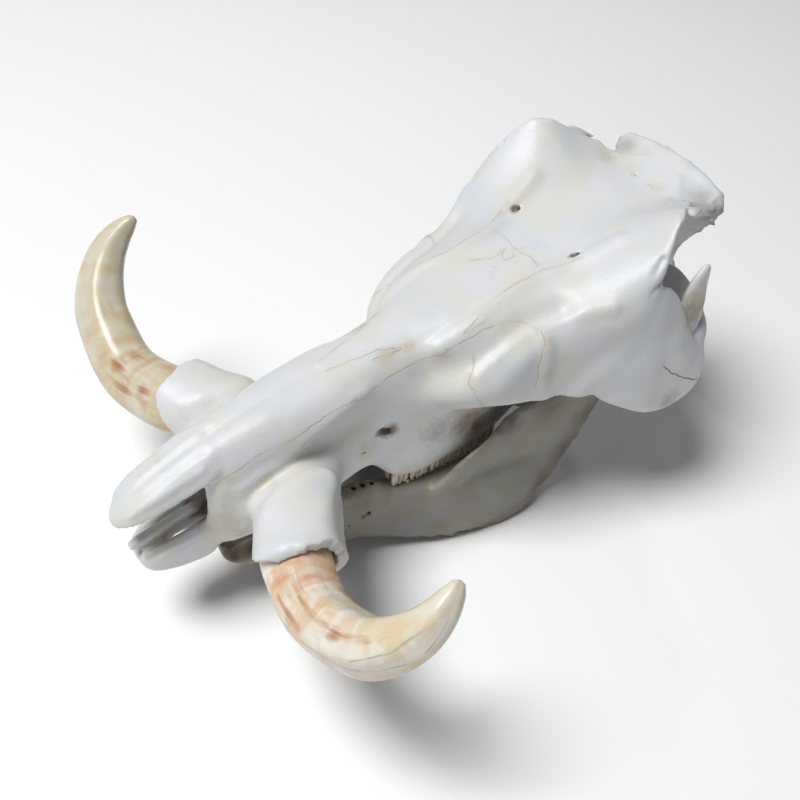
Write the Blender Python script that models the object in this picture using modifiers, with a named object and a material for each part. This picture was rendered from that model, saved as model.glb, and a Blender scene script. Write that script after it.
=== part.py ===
"""Warthog skull: cranium, lower jaw, the two upper tusks and the cheek teeth that are still in their sockets.

Every size below is in millimetres in the skull's own frame: +X runs towards the snout, +Y is the animal's
left, +Z is up, the palate lies at z = 0 and the crest at the back of the head at x = 0. The function at()
turns such a point into metres, with the origin under the middle of the skull on the surface it rests on.
"""

import math

import bmesh
import bpy
from mathutils import Vector

MM = 0.001
SIDES = (("left", 1), ("right", -1))

# Where the frame's origin lies in the skull's own frame: half way along, and on the table.
DATUM_X = 193.3
TABLE_Z = -64.0

# Clearance between pieces that touch.
GAP = 0.3

# Colours of bleached bone, tusk ivory and tooth enamel (linear RGB).
BONE = (0.74, 0.75, 0.76, 1.0)
JAW_BONE = (0.62, 0.60, 0.56, 1.0)
IVORY = (0.78, 0.62, 0.42, 1.0)
ENAMEL = (0.66, 0.62, 0.54, 1.0)

# Half sections of the skull's core, front to back: x, then (y, z) from the top midline round the outside to
# the bottom midline. The nine points are the midline, the flat of the roof, its edge, the slope of the
# cheek, the lip of the cheek bone, the hollow under it, the wall, the tooth margin and the palate.
CORE_SECTIONS = (
    (352, ((0, 68), (9, 67), (17, 58), (21, 45), (20, 32), (21, 20), (22, 8), (18, -5), (0, -4))),
    (330, ((0, 76), (10, 75), (18, 68), (25, 55), (22, 39), (22, 22), (25, 8), (21, -4), (0, -2))),
    (300, ((0, 84), (11, 82), (19, 78), (28, 67), (24, 49), (23, 28), (28, 10), (24, -3), (0, 0))),
    (270, ((0, 89), (12, 87), (20, 83), (27, 73), (25, 57), (25, 36), (28, 20), (26, 6), (0, 5))),
    (249, ((0, 93), (12, 91), (21, 83), (27, 70), (26, 56), (27, 44), (30, 32), (28, 20), (0, 12))),
    (239, ((0, 96), (12, 94), (21, 84), (26, 69), (27, 55), (28, 42), (32, 28), (30, 15), (0, 9))),
    (229, ((0, 98), (12, 96), (22, 86), (27, 72), (29, 56), (29, 41), (33, 20), (35, -2), (0, 4))),
    (212, ((0, 103), (13, 101), (23, 91), (29, 77), (33, 63), (31, 50), (36, 24), (40, -3), (0, 3))),
    (190, ((0, 109), (22, 107), (42, 98), (52, 84), (55, 63), (38, 54), (36, 26), (40, -3), (0, 4))),
    (170, ((0, 114), (26, 113), (49, 103), (60, 84), (63, 56), (42, 60), (33, 28), (38, -3), (0, 5))),
    (148, ((0, 119), (29, 118), (53, 109), (65, 88), (68, 50), (47, 66), (31, 32), (37, -2), (0, 9))),
    (122, ((0, 124), (33, 124), (62, 120), (77, 99), (80, 46), (54, 74), (33, 46), (27, 12), (0, 26))),
    (98, ((0, 129), (33, 131), (70, 138), (83, 116), (87, 44), (62, 88), (31, 60), (23, 22), (0, 42))),
    (83, ((0, 132), (32, 136), (79, 154), (80, 122), (84, 56), (66, 96), (31, 74), (21, 48), (0, 50))),
    (72, ((0, 134), (31, 138), (77, 168), (56, 144), (43, 124), (37, 100), (31, 78), (21, 55), (0, 53))),
    (60, ((0, 136), (29, 140), (70, 176), (50, 147), (40, 122), (37, 100), (33, 78), (23, 56), (0, 54))),
    (44, ((0, 138), (27, 142), (57, 160), (45, 142), (39, 120), (36, 98), (33, 78), (25, 55), (0, 54))),
    (28, ((0, 140), (25, 142), (49, 152), (37, 136), (33, 117), (33, 98), (33, 78), (26, 55), (0, 54))),
    (14, ((0, 142), (19, 145), (36, 145), (38, 133), (32, 117), (28, 99), (30, 77), (27, 55), (0, 54))),
    (2, ((0, 147), (25, 147), (45, 146), (47, 132), (37, 114), (25, 97), (26, 78), (24, 57), (0, 55))),
    (-9, ((0, 154), (24, 151), (45, 145), (46, 129), (33, 112), (19, 97), (19, 79), (18, 62), (0, 60))),
    (1, ((0, 138), (15, 136), (28, 131), (28, 120), (20, 107), (13, 96), (12, 80), (10, 66), (0, 64))),
)

# The nasal bones in front of the core: x, half width, top, edge and underside heights.
NASAL_SECTIONS = (
    (338, 20, 74, 60, 64),
    (356, 19, 68, 51, 59),
    (374, 17, 60, 45, 53),
    (388, 14, 51, 39, 45),
    (402, 7, 41, 33, 36),
)

# Their arch drops this far to its shoulder, which lies at this share of the half width, and the edge is this high.
NASAL_DROP = 1.5
NASAL_EDGE = 3.0
SHOULDER = 0.6

# The beak of the two front jaw bones: x, half width, top and underside heights, and the height of its edge.
BEAK_EDGE = 2.5
BEAK_SECTIONS = (
    (338, 23, 20, -7),
    (356, 20, 16, -9),
    (374, 17, 9, -9),
    (387, 12, 5, -7),
)

# The cheek arch stands as a thin plate under and behind the eye: x, then (y, z) of its upper and its lower
# edge, and half its thickness. Behind it the arch turns inwards as a swept limb, whose points hold x, y, z,
# half thickness across and half height, as all the limbs below do. The spike of bone behind the eye is broken
# off short on the right side.
ARCH_PLATE = (
    (122, (62, 106), (70, 53), 8),
    (98, (73, 121), (85, 43), 7),
    (82, (76, 129), (90, 35), 7),
    (72, (75, 124), (90, 32), 6.5),
    (63, (77, 114), (91.5, 31), 6.5),
    (55, (79, 103), (92, 33), 6.5),
    (48, (80, 92), (93, 37), 6.5),
    (41, (81, 82), (94, 45), 6.5),
    (33, (81, 78), (90, 56), 6),
)
PLATE_SQUARE = 0.85
ARCH_ROOT = (
    (42, 84, 67, 8, 10),
    (31, 74, 74, 10, 11),
    (29, 60, 83, 13, 9),
    (27, 44, 87, 14, 10),
    (26, 30, 88, 14, 10),
)
ORBIT_PROCESS = (
    (47, 79, 76, 12, 4.5),
    (47, 78, 98, 12.5, 4),
    (49, 77, 112, 11, 3.5),
    (46, 77, 123, 6.5, 2.8),
    (44, 77, 131, 2, 2),
)
ORBIT_STUMP = (
    (47, 79, 76, 12, 4.5),
    (47, 78, 96, 12, 4),
    (48, 77, 108, 7, 3),
    (47, 77, 115, 2, 2),
)
BROW_SPIKE = ((46, 55, 153, 5, 4), (34, 51, 149, 4, 3), (24, 47, 145, 1.5, 1.5))
THROAT_PROCESS = ((12, 30, 78, 9, 8), (10, 33, 58, 7, 6), (12, 32, 36, 5, 5), (14, 31, 16, 3, 3))
NECK_KNOB = (-6, 14, 70, 9, 9, 11)
PTERYGOID = ((130, 26, 40, 20, 6), (117, 25, 22, 17, 5), (106, 25, 7, 10, 4), (100, 26, -3, 5, 3))

# The tusk socket's sleeve on the left side: y, middle x, middle z, half length, half height, and how far
# the ring leans back for each millimetre of its length.
SLEEVE_SECTIONS = (
    (12, 303, 29, 40, 24, 0.0),
    (28, 305, 32, 37, 23, 0.1),
    (44, 311, 33, 31, 23.5, 0.25),
    (58, 319, 34, 27, 25, 0.4),
    (70, 324.5, 33.5, 26, 26.5, 0.45),
    (79, 328.5, 33, 26, 27, 0.5),
    (81, 329, 33, 26, 27, 0.5),
)

# The left tusk's centre line and radius, from the root in the socket to the tip.
TUSK_LINE = (
    (311, 42, 32, 13.0),
    (318, 54, 33, 17.0),
    (325, 68, 34, 20.4),
    (331, 86, 32, 19.9),
    (335, 103, 32, 19.1),
    (336, 118, 36, 18.4),
    (335, 133, 43, 17.7),
    (333, 147, 52, 16.8),
    (327, 158, 64, 15.0),
    (319, 165, 76, 12.6),
    (311, 167, 86, 10.4),
    (304, 166, 94, 7.6),
    (300, 164.5, 98.5, 4.6),
)
SOCKET_MOUTH = 1.0

# The lower jaw's left half: (x, y, z, half thickness, half height), and how full its sections' corners are.
JAW_SQUARE = 0.7
JAW_BODY = (
    (340, 11, -12, 9, 7),
    (324, 15, -17, 12, 11),
    (300, 17, -20, 13, 15),
    (275, 18, -22, 11, 19),
    (254, 20, -25, 10, 23),
    (238, 24, -28, 10, 24),
    (220, 30, -31, 10.5, 25),
    (194, 38, -36, 12, 28),
    (168, 44, -37, 13, 31),
    (142, 48, -38, 10, 30),
    (116, 49, -38, 7, 25),
)
# The thin ridge of the three lost premolars' sockets, and the fused chin.
SOCKET_RIDGE = ((268, 20, -8, 6, 6), (252, 23, -3, 6, 6.5), (240, 26, -4, 6, 6), (231, 28, -12, 6, 6))
CHIN = (
    (338, 4, -14, 9, 8),
    (312, 4, -24, 12, 12),
    (288, 5, -30, 12, 15),
    (266, 6, -35, 10, 17),
    (246, 9, -41, 8, 15),
)
# The inner shelf of the jaw that the lower cheek teeth stand in.
TOOTH_SHELF = (
    (226, 25, -19, 8, 12),
    (206, 27, -19, 10, 14),
    (188, 28, -19, 11, 14),
    (170, 29, -19, 11, 14),
    (152, 32, -20, 12, 13),
    (138, 38, -22, 9, 10),
)
# The upright plate of the jaw, seen from the side, then how it stands: its middle at x = RAMUS_AT, how far
# it swings in towards the snout and out towards the top, and half its thickness.
RAMUS_OUTLINE = (
    (215, -24), (206, -8), (197, 5), (187, 12), (178, 18), (171, 27), (165, 37), (156, 43), (138, 46), (120, 56),
    (108, 68), (98, 76), (90, 74), (80, 66), (62, 62), (51, 71), (38, 71), (39, 60), (56, 46), (72, 28),
    (80, 8), (86, -18), (95, -42), (111, -61), (134, -67), (160, -67), (200, -60),
)
RAMUS_AT = 110.0
RAMUS_Y = 53.0
RAMUS_SWING = -0.09
RAMUS_LEAN = 0.05
RAMUS_HALF = 5.0
JAW_JOINT = (44, 58, 70, 8, 12, 6)

# Cheek teeth, left side: jaw, name, first and last x, half width, lobes along the tooth.
TOOTH_ROW_Y = 27.0
BITE_Z = -4.0
CROWN = 7.0
ROOT = 15.0
POINTS_PER_LOBE = 8
TOOTH_END_SQUARE = 0.75
TOOTH_SIDE_SQUARE = 0.45
LOBE_DEPTH = 0.07
TEETH = (
    ("upper", "premolar", 217, 229, 5.5, 2),
    ("upper", "second_molar", 202.5, 216, 6.6, 2),
    ("upper", "third_molar", 150, 201.5, 7.2, 5),
    ("lower", "second_molar", 204, 219, 6.0, 2),
    ("lower", "third_molar", 150, 203, 6.6, 5),
)

# Openings: nasal passage (x, half width, top, underside) and how full its corners are, the vault under the
# front of the palate (x, half width, top) and how deep its cutter reaches, the slits through the palate (x, y,
# half length, half width) and how far down they reach, the hole for the spinal cord (x, z, radius) and the
# lower tusks' empty sockets (x, y, z, radius).
NASAL_PASSAGE = (
    (392, 12, 48, 7),
    (366, 14, 50, 9),
    (350, 15, 52, 10),
    (325, 13, 54, 11),
    (296, 10, 50, 14),
    (282, 6, 44, 20),
)
PASSAGE_SQUARE = 0.7
PALATE_VAULT = ((382, 5, -2), (370, 9, 3), (356, 12, 5), (340, 11, 4), (324, 7, -1))
VAULT_FLOOR = -20.0
SLIT_REACH = (-20, 16)
PALATE_SLIT = (357.5, 5.4, 14, 3.4)
SPINE_HOLE = ((-20, 78, 10), (0, 80, 9.5), (16, 82, 8), (24, 82, 4))
LOWER_TUSK_SOCKET = ((344, 27, -6, 8), (334, 25, -10, 7), (318, 22, -15, 6), (304, 20, -18, 3))

# Where a knob's rings lie along it, from end to end, and the squared share of its width at its very ends.
KNOB_STEPS = (-1.0, -0.6, 0.0, 0.6, 1.0)
KNOB_END = 0.08

# The wrapped skin: its cell size, how often it is eased, and the share of its faces kept.
VOXEL = 2.6 * MM
EASE_ROUNDS = 3
CRANIUM_DETAIL = 0.037
JAW_DETAIL = 0.045

# The slab that cuts the rest flats is larger than the jaw each way.
SLAB = (500 * MM, 300 * MM, 20 * MM)


def at(x, y, z):
    """A point of the skull's own frame, in metres in the world."""
    return Vector(((x - DATUM_X) * MM, y * MM, (z - TABLE_Z) * MM))


def clear_scene():
    for old in list(bpy.data.objects):
        bpy.data.objects.remove(old, do_unlink=True)


def new_collection(name):
    group = bpy.data.collections.new(name)
    bpy.context.scene.collection.children.link(group)
    return group


def material(name, colour, roughness):
    mat = bpy.data.materials.new(name)
    mat.use_nodes = True
    shader = mat.node_tree.nodes["Principled BSDF"]
    shader.inputs["Base Color"].default_value = colour
    shader.inputs["Roughness"].default_value = roughness
    shader.inputs["Metallic"].default_value = 0.0
    mat.diffuse_color = colour
    return mat


def add_object(name, mesh, group, mat=None):
    obj = bpy.data.objects.new(name, mesh)
    group.objects.link(obj)
    if mat:
        mesh.materials.append(mat)
    return obj


def loft(rings):
    """A closed bmesh through rings of points that all have the same count, with its two ends filled."""
    bm = bmesh.new()
    rows = [[bm.verts.new(at(*point)) for point in ring] for ring in rings]
    count = len(rows[0])
    for row, following in zip(rows, rows[1:]):
        for i in range(count):
            j = (i + 1) % count
            bm.faces.new((row[i], row[j], following[j], following[i]))
    bm.faces.new(rows[0])
    bm.faces.new(rows[-1])
    bmesh.ops.recalc_face_normals(bm, faces=bm.faces)
    return bm


def smoothed(bm, levels=2):
    """The cage's subdivision surface as a plain mesh."""
    cage = bpy.data.meshes.new("cage")
    bm.to_mesh(cage)
    bm.free()
    holder = bpy.data.objects.new("cage", cage)
    bpy.context.scene.collection.objects.link(holder)
    soften = holder.modifiers.new("soften", "SUBSURF")
    soften.levels = levels
    soften.render_levels = levels
    depsgraph = bpy.context.evaluated_depsgraph_get()
    result = bpy.data.meshes.new_from_object(holder.evaluated_get(depsgraph))
    bpy.data.objects.remove(holder, do_unlink=True)
    return result


def whole_ring(x, half):
    """A full ring at x from a half section that starts and ends on the midline."""
    left = [(x, y, z) for y, z in half]
    right = [(x, -y, z) for y, z in reversed(half[1:-1])]
    return left + right


def mirrored(rings):
    return [[(x, -y, z) for x, y, z in ring] for ring in rings]


def oval(centre, across, up, half_across, half_up, points=12, square=1.0):
    """A ring of points round a centre, in the plane of two directions; square below 1 fills its corners."""
    ring = []
    for i in range(points):
        turn = 2 * math.pi * i / points
        side = math.copysign(abs(math.cos(turn)) ** square, math.cos(turn))
        rise = math.copysign(abs(math.sin(turn)) ** square, math.sin(turn))
        ring.append(tuple(Vector(centre) + across * half_across * side + up * half_up * rise))
    return ring


def swept_rings(line, flat_up=None, square=1.0):
    """Oval rings along a bone: each point carries its half thickness across and its half height."""
    rings = []
    for i, (x, y, z, thick, high) in enumerate(line):
        before = Vector(line[max(i - 1, 0)][:3])
        after = Vector(line[min(i + 1, len(line) - 1)][:3])
        along = (after - before).normalized()
        up = Vector(flat_up) if flat_up else Vector((0, 0, 1))
        up = (up - along * up.dot(along)).normalized()
        rings.append(oval((x, y, z), along.cross(up), up, thick, high, square=square))
    return rings


def plate_rings(rows):
    """Flat oval rings of a thin plate from its upper and lower edges."""
    rings = []
    for x, (top_y, top_z), (low_y, low_z), half in rows:
        centre = (x, (top_y + low_y) / 2, (top_z + low_z) / 2)
        up = Vector((0, (top_y - low_y) / 2, (top_z - low_z) / 2))
        across = Vector((0, up.z, -up.y)).normalized()
        rings.append(oval(centre, across, up, half, 1.0, square=PLATE_SQUARE))
    return rings


def core_rings():
    return [whole_ring(x, half) for x, half in CORE_SECTIONS]


def nasal_rings():
    """Sections of the nasal bones: a low arch whose edges hang down and are thin."""
    rings = []
    for x, wide, top, edge, under in NASAL_SECTIONS:
        shoulder = wide * SHOULDER
        half = ((0, top), (shoulder, top - NASAL_DROP), (wide, edge + NASAL_EDGE), (wide - 1, edge - 1),
                (shoulder, (edge + under) / 2), (0, under))
        rings.append(whole_ring(x, half))
    return rings


def beak_rings():
    """Sections of the beak: a flat block with rounded edges."""
    rings = []
    for x, wide, top, under in BEAK_SECTIONS:
        shoulder = wide * SHOULDER
        half = ((0, top), (shoulder, top), (wide, top - BEAK_EDGE), (wide, under + BEAK_EDGE),
                (shoulder, under), (0, under + 1))
        rings.append(whole_ring(x, half))
    return rings


def sleeve_rings():
    """The sleeve of bone round the tusk; its last rings lean so that the mouth faces forwards and out."""
    rings = []
    for y, x, z, half_long, half_high, lean in SLEEVE_SECTIONS:
        along = Vector((1, -lean, 0))
        rings.append(oval((x, y, z), along, Vector((0, 0, 1)), half_long, half_high))
    return rings


def ramus_rings():
    """The flat upright plate of the jaw: its outline drawn twice, either side of its leaning middle."""
    rings = []
    for side in (-1, 1):
        rings.append([(x, RAMUS_Y + RAMUS_SWING * max(x - RAMUS_AT, 0.0) + RAMUS_LEAN * z
                       + side * RAMUS_HALF, z) for x, z in RAMUS_OUTLINE])
    return rings


def knob_rings(x, y, z, along, across, high):
    """A rounded knob as rings that grow and shrink along y."""
    rings = []
    for k in KNOB_STEPS:
        grow = math.sqrt(max(1 - k * k, KNOB_END))
        rings.append(oval((x, y + k * across, z), Vector((1, 0, 0)), Vector((0, 0, 1)), along * grow,
                          high * grow, points=8))
    return rings


def both_sides(rings):
    return [rings, mirrored(rings)]


def fuse(name, ring_sets, group, mat, detail):
    """One solid from many overlapping lofts: joined, wrapped in one skin, smoothed and thinned."""
    joined = bmesh.new()
    for rings in ring_sets:
        joined.from_mesh(smoothed(loft(rings)))
    mesh = bpy.data.meshes.new(name)
    joined.to_mesh(mesh)
    joined.free()
    obj = add_object(name, mesh, group, mat)
    skin = obj.modifiers.new("skin", "REMESH")
    skin.mode = "VOXEL"
    skin.voxel_size = VOXEL
    ease = obj.modifiers.new("ease", "SMOOTH")
    ease.factor = 0.5
    ease.iterations = EASE_ROUNDS
    thin = obj.modifiers.new("thin", "DECIMATE")
    thin.ratio = detail
    thin.use_symmetry = False
    return obj


def tusk_mesh(side, extra, mouth, sides=24):
    """The tusk's solid, or with extra radius the shape of its socket; mouth widens it towards the opening."""
    curve = bpy.data.curves.new("tusk", "CURVE")
    curve.dimensions = "3D"
    curve.bevel_depth = MM
    curve.bevel_resolution = sides // 4
    curve.use_fill_caps = True
    curve.resolution_u = 2
    line = TUSK_LINE if not mouth else TUSK_LINE[:6]
    spline = curve.splines.new("POLY")
    spline.points.add(len(line) - 1)
    for i, (x, y, z, radius) in enumerate(line):
        wider = extra + mouth * max(0.0, min(1.0, (i - 1) / 2))
        spline.points[i].co = (*at(x, side * y, z), 1.0)
        spline.points[i].radius = radius + wider
    holder = bpy.data.objects.new("tusk", curve)
    bpy.context.scene.collection.objects.link(holder)
    depsgraph = bpy.context.evaluated_depsgraph_get()
    mesh = bpy.data.meshes.new_from_object(holder.evaluated_get(depsgraph))
    bpy.data.objects.remove(holder, do_unlink=True)
    bm = bmesh.new()
    bm.from_mesh(mesh)
    bmesh.ops.remove_doubles(bm, verts=bm.verts, dist=0.00001)
    bmesh.ops.recalc_face_normals(bm, faces=bm.faces)
    bm.to_mesh(mesh)
    bm.free()
    return mesh


def tooth_mesh(side, jaw, first, last, half_wide, lobes, extra):
    """A cheek tooth as a lobed column, standing in its socket up to the bite plane."""
    points = POINTS_PER_LOBE * lobes
    half_long = (last - first) / 2
    middle = (last + first) / 2
    up = 1 if jaw == "upper" else -1
    bite = BITE_Z + up * GAP / 2
    levels = (bite - up * extra * 3, bite + up * (CROWN + ROOT) + up * extra)
    rings = []
    for z in levels:
        ring = []
        for i in range(points):
            turn = 2 * math.pi * i / points
            along = math.copysign(abs(math.cos(turn)) ** TOOTH_END_SQUARE, math.cos(turn))
            across = math.copysign(abs(math.sin(turn)) ** TOOTH_SIDE_SQUARE, math.sin(turn))
            lobe = 1 - LOBE_DEPTH + LOBE_DEPTH * math.cos(math.pi * lobes * (along + 1))
            ring.append((middle + along * (half_long + extra),
                         side * (TOOTH_ROW_Y + across * (half_wide * lobe + extra)), z))
        rings.append(ring)
    mesh = bpy.data.meshes.new("tooth")
    bm = loft(rings)
    bm.to_mesh(mesh)
    bm.free()
    return mesh


def cut(target, cutter):
    cutter.hide_render = True
    cutter.display_type = "WIRE"
    bite = target.modifiers.new("cut " + cutter.name, "BOOLEAN")
    bite.operation = "DIFFERENCE"
    bite.solver = "EXACT"
    bite.object = cutter


def cutter_from_rings(name, rings, group):
    """A rounded cutter; its faces are triangles, so that each of them is flat."""
    mesh = smoothed(loft(rings), levels=1)
    bm = bmesh.new()
    bm.from_mesh(mesh)
    bmesh.ops.triangulate(bm, faces=bm.faces)
    bm.to_mesh(mesh)
    bm.free()
    return add_object(name, mesh, group)


def flat_underside(name, group):
    """A slab under the jaw that leaves small worn flats in one plane, which the skull rests on."""
    mesh = bpy.data.meshes.new(name)
    bm = bmesh.new()
    bmesh.ops.create_cube(bm, size=1.0)
    length, width, depth = SLAB
    for vert in bm.verts:
        x, y, z = vert.co
        vert.co = (x * length, y * width, (z - 0.5) * depth)
    bm.to_mesh(mesh)
    bm.free()
    return add_object(name, mesh, group)


def upright_oval(x, y, z, half_wide, half_high, points=12, square=1.0):
    """A ring that stands across the skull."""
    return oval((x, y, z), Vector((0, 1, 0)), Vector((0, 0, 1)), half_wide, half_high, points, square)


def passage_rings():
    """The nasal passage, running back from the open front of the muzzle."""
    return [upright_oval(x, 0, (top + under) / 2, wide, (top - under) / 2, square=PASSAGE_SQUARE)
            for x, wide, top, under in NASAL_PASSAGE]


def vault_rings():
    """The vault under the front of the palate, reaching down past the beak."""
    return [upright_oval(x, 0, (top + VAULT_FLOOR) / 2, wide, (top - VAULT_FLOOR) / 2)
            for x, wide, top in PALATE_VAULT]


def slit_rings(side):
    """A long narrow hole down through the beak."""
    x, y, half_long, half_wide = PALATE_SLIT
    return [oval((x, side * y, z), Vector((1, 0, 0)), Vector((0, 1, 0)), half_long, half_wide)
            for z in SLIT_REACH]


def spine_hole_rings():
    return [upright_oval(x, 0, z, r, r) for x, z, r in SPINE_HOLE]


def socket_rings(side):
    return [upright_oval(x, side * y, z, r, r, points=8) for x, y, z, r in LOWER_TUSK_SOCKET]


def build_cranium(parts, cutters, mat):
    ring_sets = [core_rings(), nasal_rings(), beak_rings()]
    ring_sets += both_sides(plate_rings(ARCH_PLATE)) + both_sides(swept_rings(ARCH_ROOT))
    ring_sets += [swept_rings(ORBIT_PROCESS, flat_up=(0, 1, 0))]
    ring_sets += [mirrored(swept_rings(ORBIT_STUMP, flat_up=(0, 1, 0)))]
    ring_sets += both_sides(swept_rings(BROW_SPIKE))
    ring_sets += both_sides(swept_rings(THROAT_PROCESS, flat_up=(0, 1, 0)))
    ring_sets += both_sides(swept_rings(PTERYGOID, flat_up=(0, 1, 0)))
    ring_sets += both_sides(sleeve_rings())
    ring_sets += both_sides(knob_rings(*NECK_KNOB))
    cranium = fuse("cranium", ring_sets, parts, mat, CRANIUM_DETAIL)
    cut(cranium, cutter_from_rings("nasal passage", passage_rings(), cutters))
    cut(cranium, cutter_from_rings("palate vault", vault_rings(), cutters))
    cut(cranium, cutter_from_rings("spine hole", spine_hole_rings(), cutters))
    for word, side in SIDES:
        cut(cranium, cutter_from_rings("palate slit " + word, slit_rings(side), cutters))
    return cranium


def build_jaw(parts, cutters, mat):
    ring_sets = both_sides(swept_rings(JAW_BODY, square=JAW_SQUARE)) + both_sides(swept_rings(CHIN))
    ring_sets += both_sides(swept_rings(TOOTH_SHELF, square=JAW_SQUARE)) + both_sides(swept_rings(SOCKET_RIDGE))
    ring_sets += both_sides(ramus_rings()) + both_sides(knob_rings(*JAW_JOINT))
    jaw = fuse("mandible", ring_sets, parts, mat, JAW_DETAIL)
    cut(jaw, flat_underside("table plane", cutters))
    for word, side in SIDES:
        cut(jaw, cutter_from_rings("lower tusk socket " + word, socket_rings(side), cutters))
    return jaw


def main():
    clear_scene()
    parts = new_collection("warthog skull")
    cutters = new_collection("cutters")
    bone = material("bleached bone", BONE, 0.55)
    jaw_bone = material("jaw bone", JAW_BONE, 0.6)
    ivory = material("tusk ivory", IVORY, 0.3)
    enamel = material("tooth enamel", ENAMEL, 0.35)

    cranium = build_cranium(parts, cutters, bone)
    mandible = build_jaw(parts, cutters, jaw_bone)

    for word, side in SIDES:
        add_object("tusk_" + word, tusk_mesh(side, 0.0, 0.0), parts, ivory)
        cut(cranium, add_object("tusk socket " + word, tusk_mesh(side, GAP, SOCKET_MOUTH), cutters))
        for jaw, kind, first, last, half_wide, lobes in TEETH:
            add_object("_".join((jaw, kind, word)), tooth_mesh(side, jaw, first, last, half_wide, lobes, 0.0),
                       parts, enamel)
            socket = add_object(" ".join((jaw, kind, "socket", word)),
                                tooth_mesh(side, jaw, first, last, half_wide, lobes, GAP), cutters)
            cut(cranium if jaw == "upper" else mandible, socket)


main()
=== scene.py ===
"""Warthog skull: the looks of its cranium, lower jaw, tusks and cheek teeth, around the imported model.

Sizes are in millimetres in the skull's own frame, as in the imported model: +X runs towards the snout, +Y is
the animal's left, +Z is up, the palate lies at z = 0 and the crest at the back of the head at x = 0. The
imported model's frame has its origin half way along the skull, on the surface that it rests on.
"""

import math

import bmesh
import bpy
import numpy as np
import openvdb
from mathutils import Matrix, Vector


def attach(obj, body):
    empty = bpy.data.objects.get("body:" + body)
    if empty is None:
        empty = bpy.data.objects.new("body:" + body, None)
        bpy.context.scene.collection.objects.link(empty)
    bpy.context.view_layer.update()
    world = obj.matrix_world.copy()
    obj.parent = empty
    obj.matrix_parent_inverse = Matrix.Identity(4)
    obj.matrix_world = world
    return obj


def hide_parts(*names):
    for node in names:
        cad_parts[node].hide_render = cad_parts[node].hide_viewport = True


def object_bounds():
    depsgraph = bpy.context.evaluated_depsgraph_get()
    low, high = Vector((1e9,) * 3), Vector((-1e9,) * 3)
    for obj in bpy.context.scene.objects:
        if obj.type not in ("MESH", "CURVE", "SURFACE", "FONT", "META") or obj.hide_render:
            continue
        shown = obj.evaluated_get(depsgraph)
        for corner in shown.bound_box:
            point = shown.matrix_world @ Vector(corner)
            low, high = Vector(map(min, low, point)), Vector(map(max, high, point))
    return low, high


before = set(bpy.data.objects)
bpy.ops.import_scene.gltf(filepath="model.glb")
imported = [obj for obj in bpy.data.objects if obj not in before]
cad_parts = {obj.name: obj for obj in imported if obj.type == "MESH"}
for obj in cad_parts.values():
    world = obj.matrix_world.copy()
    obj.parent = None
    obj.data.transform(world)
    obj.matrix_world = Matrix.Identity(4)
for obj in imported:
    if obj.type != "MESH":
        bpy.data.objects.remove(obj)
cad_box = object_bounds()

# Cranium: one bone, grown together from the skull roof, the upper jaws, the cheek bones and the sleeves round
# the tusks, then boiled and bleached. It is shaped as a distance field, a grid that says how far each point
# lies from the bone, in which the parts flow into one another and holes and grooves are worn into them.

MM = 0.001
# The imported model's origin, in the skull's own frame.
DATUM_X = 193.3
TABLE_Z = -64.0
# The side of a cell of the distance field, and the farthest distance that it holds.
CELL = 1.1
REACH = 11.0
FORE, SIDE, UP = Vector((1, 0, 0)), Vector((0, 1, 0)), Vector((0, 0, 1))

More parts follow.
